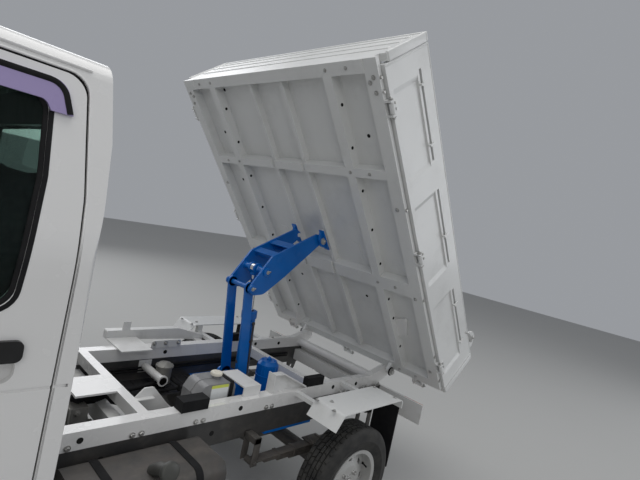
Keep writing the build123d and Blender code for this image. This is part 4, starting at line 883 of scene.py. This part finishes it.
def make_bed_details():
    plates = Shape(bed)
    for y in (-300, 300):
        plates.plate(rect(780, 880, y - 30, y + 30, 5), 77.5, 80, "z", 0.4)
    for plates in plates.halves():
        rows = [(1779, 611, 0), (1812, 611, 6), (BED_FRONT, 611, 0), (BED_FRONT, 652, 0), (1779, 652, 0)]
        plates.plate(rows, 26.5, BED_UNDER, "z", 0.6)
        for u in (620, 760, 1290, 1386):
            plates.plate(rect(u, u + 5, 31, 79, 2), 455, 471, "y", 0.5)
    plates.make("bed_plates", "bed", "bed_white")
    rows = [(397, -459, 10), (435, -555, 10), (295, -528, 10), (250, -427, 10)]
    patch = Shape(bed).plate(rows, 64, 80, "z", 4)
    patch.make("bed_patch", "bed", "white")
    for boots in Shape(bed).halves():
        boots.lathe([(23, 0), (26, 3), (26, 7), (21, 9)], (0, 391.5, 0), OUT, 32)
    boots.make("hinge_boots", "bed", "rubber")
    make_bed_bolts()
    # dark discs on the bed's holes: painted shade inside the holes
    hole_shade = Shape(bed)
    for u, y in ((1749, 406), (1749, -406), (1500, 560), (1500, -560), (500, 280), (500, -280), (1180, 560)):
        hole_shade.lathe([(9, 0), (9, 0.6)], (u, y, 80), DOWN)
    for hole_shade in hole_shade.halves():
        for u in (200, 420, 560, 800, 1010, 1230, 1450, 1650):
            hole_shade.lathe([(8, 0), (8, 0.6)], (u, 470, 56), OUT, 18)
            hole_shade.lathe([(8, 0), (8, 0.6)], (u, 420, 56), IN, 18)
    hole_shade.make("bed_hole_shade", "bed", "hole")
    rim = Shape(bed).box(1799, 1839, -737, 737, 352, 365, 5, 3)
    for rim in rim.halves():
        rim.box(1799, 1839, 722, 738, 84, 353, 5, 3)
    for w in (150, 230, 300):
        rim.box(1830, 1838, -690, 690, w, w + 26, 3.6, 3)
    rim.make("headboard_rim", "bed", "bed_white")
    for welds in Shape(bed).halves():
        for y in (419, 471):
            welds.weld([(u, y, 79 + 0.6 * sin(u * 0.7)) for u in range(60, 1780, 6)], 2.2, 0.5, 1.9)
        for u in (651, 736, 1316, 1361):
            welds.weld([(u, y, 79) for y in range(136, 416, 6)], 2.0, 0.5, 1.7)
    welds.make("bed_welds", "bed", "bed_white", 60)


def make_gate_details(side):
    sign, body = SIDES[side], "side_gate_" + side
    bolts = Shape(bed, sign)
    for u in GATE_HINGES:
        for end in (-12, 12):
            bolts.bolt((u + end, 740, 70), OUT, 5)
    for u in (110, 122):
        bolts.bolt((u, 722, 330), OUT, 5)
    bolts.bolt((76, 727, 411), OUT, 9, 6)
    bolts.make("gate_bolts_" + side, body, "zinc")
    rows = [(62, 398, 8), (92, 398, 12), (150, 372, 10), (150, 356, 8), (80, 372, 8), (62, 384, 8)]
    latch = Shape(bed, sign).plate(rows, 727, 736, "y", 2)
    latch.tube([(148, 731, 364), (168, 731, 352), (186, 731, 336)], [6, 7, 6], 12)
    latch.make("gate_latch_" + side, body, "zinc")
    # thin dark strips in the grooves under the gate's top rail: painted shade of the deep grooves
    slot_shade = Shape(bed, sign)
    for u0, u1 in ((170, 550), (730, 1154), (1304, 1713)):
        slot_shade.box(u0, u1, 718.5, 719.5, 271, 285, 0.4)
    slot_shade.make("gate_slot_shade_" + side, body, "hole")
    edges = Shape(bed, sign).box(-9, 1796, 702, 736, 355, 365, 4.5, 3)
    for u in (-8, 1786):
        edges.box(u, u + 9, 702, 736, 58, 356, 3)
    for w in (130, 180, 230, 280):
        edges.box(20, 1770, 701, 704.5, w, w + 14, 1.7)
    edges.make("gate_edges_" + side, body, "bed_white")


def make_tailgate_details():
    edges = Shape(bed).box(-48, -14, -736, 736, 355, 365, 4.5, 3)
    for edges in edges.halves():
        edges.box(-48, -14, 727, 737, 58, 356, 3)
    for y in (-480, 0, 480):
        edges.box(-20.5, -15, y - 200, y + 200, 150, 262, 2)
    edges.make("tailgate_edges", "tailgate", "bed_white")
    fittings = Shape(bed)
    for fittings in fittings.halves():
        fittings.box(-53, -45, 640, 706, 300, 344, 3)
        fittings.tube([(-52, 690, 322), (-56, 640, 322), (-55, 590, 318)], [8, 6, 6], 12)
    for y in (-550, 570, 10, 10):
        for w in (66, 74):
            fittings.bolt((-52, y, w), (-1, 0, 0), 4)
    fittings.make("tailgate_fittings", "tailgate", "zinc")


# Chassis
def make_frame_bolts():
    for bolts in Shape().halves():
        for x in (1450, 1700, 1960, 2330, 2860, 3060, 3180):
            for apart in (0, 34):
                bolts.bolt((x + apart, RAIL_OUTER, 552), OUT, 8)
        for x, y in ((2462, 560), (2457, 671), (2520, 600), (2905, 560), (2905, 690)):
            bolts.bolt((x, y, FENDER_TOP - 0.5), UP, 7)
        bolts.bolt((RAIL_REAR, 400, 485), REAR, 8)
        for x, z in ((2410, 540), (2470, 470)):
            bolts.lathe([(21, 0), (21, 8), (18, 10)], (x, 96, z), OUT, 28)
            bolts.bolt((x, 106, z), OUT, 8)
        for x in (2370, 2430, 2560, 2640):
            bolts.bolt((x, 352, 418), DOWN, 8)
    for x in (2105, 2170, 2245):
        bolts.bolt((x, 318, 625), IN, 8, 6)
    bolts.bolt((2962, RAIL_INNER + 20, SUB_TOP), UP, 8)
    bolts.make("frame_bolts", "chassis", "zinc")
    # dark discs on the frame's holes: painted shade inside the holes
    for hole_shade in Shape().halves():
        for x, z in ((2808, 579), (1520, 572), (2180, 572), (3010, 572),
                     (1600, 485), (2050, 485), (2950, 485)):
            y = RAIL_INNER + 40 if x > 2590 and z > 540 else RAIL_OUTER
            hole_shade.lathe([(11, 0), (11, 0.5)], (x, y, z), OUT)
            hole_shade.lathe([(11, 0), (11, 0.5)], (x, RAIL_INNER, z), IN)
    hole_shade.make("frame_hole_shade", "chassis", "hole")


def make_frame_details():
    make_frame_bolts()
    fittings = Shape().tube([(2075, 112, 505), (2075, 325, 505)], 20, 24)
    fittings.lathe([(20, 0), (27, 1), (27, 9), (20, 10)], (2075, 112, 505), OUT, 32)
    fittings.box(2040, 2110, 318, 324, 472, 538, 3)
    fittings.plate([(2091, 600, 6), (2262, 600, 6), (2262, 640, 12), (2091, 640, 12)], 319, 325)
    stay = [(1775, 556, 0), (1775, 604, 0), (1811, 640, 10), (1850, 640, 14), (1940, 540, 12), (1924, 524, 6)]
    fittings.plate(stay, -206, -199).box(1775, 1850, -230, -199, 598, 604)
    fittings.box(RAIL_REAR, RAIL_REAR + 4, -165, 165, 412, 577, 2)
    fittings.make("frame_fittings", "chassis", "frame_white")
    plate = Shape().plate(rect(-165, 165, 415, 574, 8), RAIL_REAR + 4, RAIL_REAR + 6.5, "x", 0.8)
    plate.make("rear_plate_blank", "chassis", "label")
    for bolts in Shape().halves():
        bolts.bolt((RAIL_REAR + 6, 105, 495), REAR, 6)
    bolts.make("plate_bolts", "chassis", "zinc")
    for rims in Shape().halves():
        rims.box(RAIL_REAR + 1, RAIL_REAR + 13, 475, 665, 434, 536, 5, 3)
        for y in (532, 604):
            rims.box(RAIL_REAR + 13, 3285.6, y - 1.5, y + 1.5, 441, 529, 0.6, 1)
    rims.make("tail_lamp_bases", "chassis", "plastic")


def make_between_rails():
    hose = [(1600 + 250 * t, -60 + 130 * t, 556 - 90 * t ** 1.5) for t in (k / 60 for k in range(61))]
    pipes = Shape().tube(hose, [26 if k % 2 else 21 for k in range(61)], 16)
    pipes.tube([(1650, 100, 470), (1760, 150, 452), (1900, 170, 452), (2080, 180, 470)], 11, 12)
    pipes.tube([(1650, 60, 440), (1720, 110, 440), (1790, 125, 450), (2230, 128, 452), (2350, 130, 450)], 8)
    pipes.tube([(1650, -90, 470), (1800, -150, 450), (1990, -150, 452), (2300, -250, 462),
                (2390, -318, 480)], 8)
    pipes.tube([(2160, 320, 480), (2160, 130, 480), (2175, 122, 470), (2180, 122, 440)], 7)
    for z, radius in ((500, 6), (484, 5)):
        pipes.tube([(x, 316, z) for x in (1500, 1900, 2300, 3100)], radius, 8)
    pipes.make("underbody_pipes", "chassis", "rubber", 70)
    # black ribbed sheets under the bed between the rails: painted shade, dark sheets put where there is only
    # the bed's shade
    for shade_tray in Shape().halves():
        for x0, x1, inner, first in ((1780, 2344, 106, 1820), (1270, 1690, 128, 1300)):
            shade_tray.box(x0, x1, inner, 318, 433, 437)
            for x in range(first, x1 - 4 if x1 > 2000 else x1, 60):
                shade_tray.box(x, x + 14, inner + 12, 306, 436, 441, 2)
    shade_tray.make("shade_trays", "chassis", "plastic")
    rows = [(34, 0), (40, 5), (40, 84), (45, 86), (45, 95), (40, 98), (28, 108), (10, 111)]
    pump = Shape().lathe(rows, (2122, 205, 455), UP, 36).box(2085, 2122, 190, 220, 500, 510, 2)
    for a, b in circle(6, 42):
        pump.bolt((2122 + a, 205 + b, 549), UP, 4)
    pump.make("hydraulic_filter", "chassis", "cast")
    gear, shaft = Shape(), (1, 0, -0.13)
    for x in range(1235, 1566, 55):
        gear.box(x, x + 10, -126, 126, 336, 556, 3)
    gear.box(1300, 1560, -80, 80, 322, 334, 4)
    for gear in gear.halves():
        for z in (350, 440, 530):
            gear.bolt((1600, 120, z), OUT, 9)
    gear.lathe([(60, 0), (60, 10), (38, 14), (38, 40)], (1668, 0, 397), shaft, 32)
    for a, b in circle(8, 62):
        gear.bolt((1668, a, 396 + b), shaft, 6)
    gear.make("gearbox_ribs", "chassis", "cast")


def make_tanks():
    straps = Shape()
    for x in (1540, 1826):
        straps.plate(rect(-643, -397, 327, 523, 43), x, x + 28, "x")
    straps.plate(rect(-303, -167, 497, 663, 6), 2160, 2180, "x")
    straps.make("tank_straps", "chassis", "rubber", 50)
    tank = Shape().box(1444, 1956, -648, -392, 420, 428, 3)
    tank.tube([(1700, -560, 518), (1700, -600, 548), (1700, -650, 566)], 22, 18)
    tank.lathe([(30, 0), (32, 6), (32, 18), (28, 22), (8, 23)], (1700, -648, 565), (0, -1, 0.35), 28)
    tank.make("fuel_tank_parts", "chassis", "tank_green", 50)
    rows = [(25, 0), (26, 2), (26, 11), (24, 14), (14, 15), (13, 18), (5, 18.5)]
    cap = Shape().lathe(rows, (2124, -235, 673.5), UP, 36)
    for a, b in circle(18, 26):
        cap.tube([(2124 + a, -235 + b, 675), (2124 + a, -235 + b, 685)], 1.6, 6)
    cap.make("oil_tank_cap", "chassis", "cap_white")
    label = Shape().plate(rect(2066, 2154, 577, 654, 4), -301.2, -300.2, "y", 0.3)
    label.make("oil_tank_label", "chassis", "label")
    rows = [(2003, 498, 22), (2003, 613, 4), (2033, 662, 42), (2193, 662, 32), (2202, 498, 22)]
    Shape().plate(rows, -238, -232).make("oil_tank_seam", "chassis", "tank")
    pipe = Shape()
    for x in (1500, 1950):
        pipe.lathe([(77.5, -4), (79, 0), (77.5, 4)], (x, 480, 380), REAR, 48)
    for x in (1560, 1860):
        pipe.lathe([(75, 0), (78, 0.5), (78, 24.5), (75, 25)], (x, 480, 380), REAR, 48)
        pipe.bolt((x + 12, 480, 465), UP, 7)
    pipe.lathe([(24, 0), (29, 3), (29, 22), (24, 25)], (1962, 480.7, 380), (1, 0.057, 0), 28)
    pipe.make("exhaust_bands", "chassis", "steel")


def make_springs():
    x, z = AXLES_X["r"], TYRE_RADIUS
    springs = Shape()
    for springs in springs.halves():
        for k, reach in enumerate((420, 345, 265, 185)):
            top = z + 78 - 10 * k
            springs.box(x - reach, x + reach, 405, 455, top - 9.4, top, 2.5)
        for end in (x - 410, x + 410):
            for y in (380, 454):
                springs.box(end - 18, end + 18, y, y + 6, z + 60, 458, 2)
            springs.box(end - 18, end + 18, 380, 460, 430, 458, 2)
            springs.bolt((end, 460, z + 78), OUT, 9)
        springs.box(x - 52, x + 52, 391, 469, z + 79, z + 87, 2)
        for reach, low in ((150, z + 44), (250, z + 54)):
            for middle in (x - reach, x + reach):
                springs.box(middle - 9, middle + 9, 402, 458, low, z + 81, 1.5)
    for lo, hi in ((-455, -405), (405, 455)):
        for end in (x - 410, x + 410):
            springs.tube([(end, lo - 1, z + 73), (end, hi + 1, z + 73)], 15, 20)
        for near in (x - 32, x + 32):
            rows = [(lo - 6, 18), (lo - 6, 82), (lo + 4, 88), (hi - 4, 88), (hi + 6, 82), (hi + 6, 18)]
            springs.tube([(near, y, z + up) for y, up in rows], 6)
    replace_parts(springs.make("spring_leaves", "chassis", "steel_dark"), "leaf_springs")


def make_axles():
    x, z = AXLES_X["r"], TYRE_RADIUS
    axle = Shape()
    for a, b in circle(12, 92):
        axle.bolt((x + 90, a, z + b), REAR, 6)
    axle.lathe([(84, 0), (80, 8), (60, 16), (20, 20)], (x + 89, 0, z), REAR, 40)
    for sign in (-1, 1):
        for r, y in ((107, 577), (107, 590), (107, 603), (108, 624)):
            axle.lathe([(104, -3), (r, -2.2), (r, 2.2), (104, 3)], (x, sign * y, z), (0, sign, 0), 48)
        line = [(x - 30, sign * 90, z + 52), (x - 40, sign * 250, z + 44), (x - 38, sign * 560, z + 50)]
        axle.tube(line, 4, 8)
        coil = []
        for k in range(75):
            a = k * 2 * pi / 20
            coil.append((AXLES_X["f"] + 40 * cos(a), sign * KINGPIN_Y + 40 * sin(a), 552 + 6.2 * a))
        axle.tube(coil, 5.5, 8)
        seat = (AXLES_X["f"], sign * KINGPIN_Y, 540)
        axle.lathe([(25, 0), (52, 4), (52, 10), (25, 13)], seat, UP, 32)
    axle.make("axle_parts", "chassis", "steel_dark", 50)


# Hoist
def at_pivot(pivot, y):
    return (pivot[0], y, pivot[1])


def make_arm_details():
    for arm in Shape().halves():
        arm.lathe([(20, 0), (20, 9), (17, 11)], at_pivot(ARM_HEEL, 96), OUT, 28)
        arm.lathe([(23, 0), (23, 9), (20, 11)], at_pivot(ARM_TIP, 96), OUT, 28)
        arm.lathe([(22, 34), (22, 40), (18, 44), (18, 80), (24, 84)], at_pivot(ARM_TIP, 0), OUT, 28)
        for x, z in ((2480, 1203), (2603, 1246)):
            arm.lathe([(19, 81), (21, 84)], (x, 0, z), OUT, 24)
            arm.lathe([(16, 0), (17.5, 1.5), (12, 2.5)], (x, 96, z), OUT, 24)
    down = Vector((0.467, -0.884))
    for near, far in ((0.03, 0.17), (0.37, 0.52)):
        p, q = [Vector((2435 + 295 * t, 1213 + 156 * t)) + down * 5 for t in (near, far)]
        corners = [p, q, q + down * 8, p + down * 8]
        arm.plate([(c.x, c.y, 1.5) for c in corners], -84, 84, "y", 0.8)
    arm.make("arm_collars", "lift_arm", "blue")
    for lugs in Shape(bed).halves():
        lugs.plate([(953, 30, 0), (914, -8, 22), (867, -8, 22), (828, 30, 0)], 100.8, 117.2)
        lugs.box(826, 955, 96, 134.5, 24, 30, 2)
    lugs.make("arm_lugs", "bed", "blue")
    for nipples in Shape().halves():
        for x, z in (ARM_HEEL, ARM_TIP):
            nipples.bolt((x, 107, z), OUT, 7)
            nipples.lathe([(3, 0), (3, 5), (4, 6), (2.5, 9)], (x + 12, 105, z + 4), OUT, 10)
    nipples.make("arm_nipples", "lift_arm", "zinc")
    for links in Shape().halves():
        links.lathe([(30, 0), (33, 2), (33, 10), (30, 12)], at_pivot(LINK_FOOT, 66), OUT, 36)
        links.lathe([(26, 0), (29, 2), (29, 10), (26, 12)], at_pivot(ARM_HEEL, 66), OUT, 36)
    links.make("link_bosses", "tension_links", "blue")


def make_cylinder_details():
    foot, tip = Vector(at_pivot(BARREL_FOOT, 0)), Vector(at_pivot(ARM_TIP, 0))
    axis, side = (tip - foot).normalized(), Vector(IN)
    barrel = Shape().lathe([(37, 12), (41, 16), (41, 34), (37, 38)], foot, axis, 40)
    barrel.lathe([(37, 392), (42, 394), (42, 428), (39, 431), (26, 432)], foot, axis, 40)
    barrel.lathe([(30, -31), (34, -29), (34, -22)], foot, OUT, 36)
    barrel.lathe([(34, 22), (34, 29), (30, 31)], foot, OUT, 36)
    pipe = Shape()
    for along in (52, 372):
        barrel.lathe([(14, 30), (14, 42), (12, 44)], foot + axis * along, side)
        pipe.lathe([(10, 42), (10, 50), (8, 51)], foot + axis * along, side, 6)
    barrel.make("barrel_rings", "cylinder_barrel", "blue")
    route = ((52, 48), (70, 50), (95, 48), (330, 48), (356, 50), (372, 48))
    pipe.tube([foot + axis * along + side * off for along, off in route], 5, 12)
    pipe.lathe([(22, 431), (22, 434), (19, 436)], foot, axis, 28)
    for along in (150, 270):
        pipe.lathe([(38.6, -7), (38.6, 7)], foot + axis * along, axis, 40)
    pipe.make("barrel_pipe", "cylinder_barrel", "steel_dark")
    eye = Shape().lathe([(26, -27), (30, -25), (30, -16), (26, -14)], tip, OUT, 36)
    eye.lathe([(26, 14), (30, 16), (30, 25), (26, 27)], tip, OUT, 36)
    eye.lathe([(17.3, -37), (24, -34), (26, -20)], tip, axis, 32)
    eye.make("rod_eye_rings", "cylinder_rod", "blue")


def make_power_unit_details():
    x, y = 2590, -60
    at = (x, y, 430)
    unit = Shape().lathe([(58, 12), (64, 14), (64, 22), (59, 24)], at, UP, 48)
    unit.lathe([(58, 120), (60.5, 121), (60.5, 127), (58, 128)], at, UP, 48)
    for a, b in circle(20, 58):
        unit.tube([(x + a, y + b, 562), (x + a, y + b, 610)], 2.4, 6)
    for a, b in circle(4, 34, 45):
        unit.bolt((x + a, y + b, 633), UP, 6)
    unit.lathe([(14, 204), (14, 216), (9, 220), (5, 224)], at, UP)
    unit.make("power_unit_parts", "chassis", "blue")
    for welds in Shape().halves():
        welds.weld([(x, 97, 431.5) for x in range(2355, 2530, 5)], 3.4, 0.7, 2.1)
    welds.make("hoist_welds", "chassis", "blue", 60)


# Camera, fitted to the photograph
def make_camera():
    right = Vector((0.6788815, -0.7050126, 0.2051272))
    down = Vector((0.1086017, -0.1798833, -0.9776746))
    ahead = Vector((0.7261719, 0.6860024, -0.0455539))
    place = truck(904.87, -1843.77, 1452.99)
    focal_pixels, photo_width = 450.21, 640
    data = bpy.data.cameras.new("camera")
    data.sensor_width = 36.0
    data.lens = focal_pixels / photo_width * data.sensor_width
    data.clip_start = 0.05
    camera = link("camera", data)
    camera.matrix_world = Matrix.Translation(place) @ Matrix((right, -down, -ahead)).transposed().to_4x4()
    bpy.context.scene.camera = camera


def make_stage():
    s = 14.0
    mesh = bpy.data.meshes.new("floor")
    mesh.from_pydata([(-s, -s, 0), (s, -s, 0), (s, s, 0), (-s, s, 0)], [], [(0, 1, 2, 3)])
    mesh.materials.append(shader("floor_pale", (0.42, 0.42, 0.41), 0.8, vary=(0.05, 0.8)))
    floor = link("floor", mesh)
    world = bpy.data.worlds.new("world")
    world.use_nodes = True
    background = world.node_tree.nodes["Background"]
    background.inputs["Color"].default_value = (0.74, 0.77, 0.82, 1)
    background.inputs["Strength"].default_value = 0.42
    bpy.context.scene.world = world
    for name, at, aim, size, power, colour in (
            ("top", (-0.4, -0.6, 7.0), (0.0, 0, 0.9), 6.0, 200, (1, 0.99, 0.97)),
            ("key", (-4.5, -5.5, 4.0), (0.0, 0, 0.9), 3.5, 70, (1, 0.98, 0.95)),
            ("fill", (5.5, -4.0, 3.0), (0.5, 0, 0.9), 4.0, 70, (0.95, 0.97, 1)),
            ("back", (0.5, 6.0, 4.0), (0.3, 0, 0.9), 5.0, 120, (0.97, 0.98, 1))):
        data = bpy.data.lights.new(name, "AREA")
        data.size = size
        data.energy = power
        data.color = colour
        lamp = link(name, data)
        lamp.location = at
        lamp.rotation_euler = (Vector(aim) - Vector(at)).to_track_quat("-Z", "Y").to_euler()


dress_nodes()
for name in ("fl", "fr", "rl", "rr"):
    make_tyre(*name)
    make_wheel_fittings(*name)
for name in SIDES:
    make_door_trim(name)
    make_cab_sides(name)
    make_gate_details(name)
make_cab_front()
make_cab_inside()
make_steering_wheel()
make_seats()
make_bed_details()
make_tailgate_details()
make_frame_details()
make_between_rails()
make_tanks()
make_springs()
make_axles()
make_arm_details()
make_cylinder_details()
make_power_unit_details()
make_camera()
make_stage()
bpy.context.scene.view_settings.view_transform = "Standard"
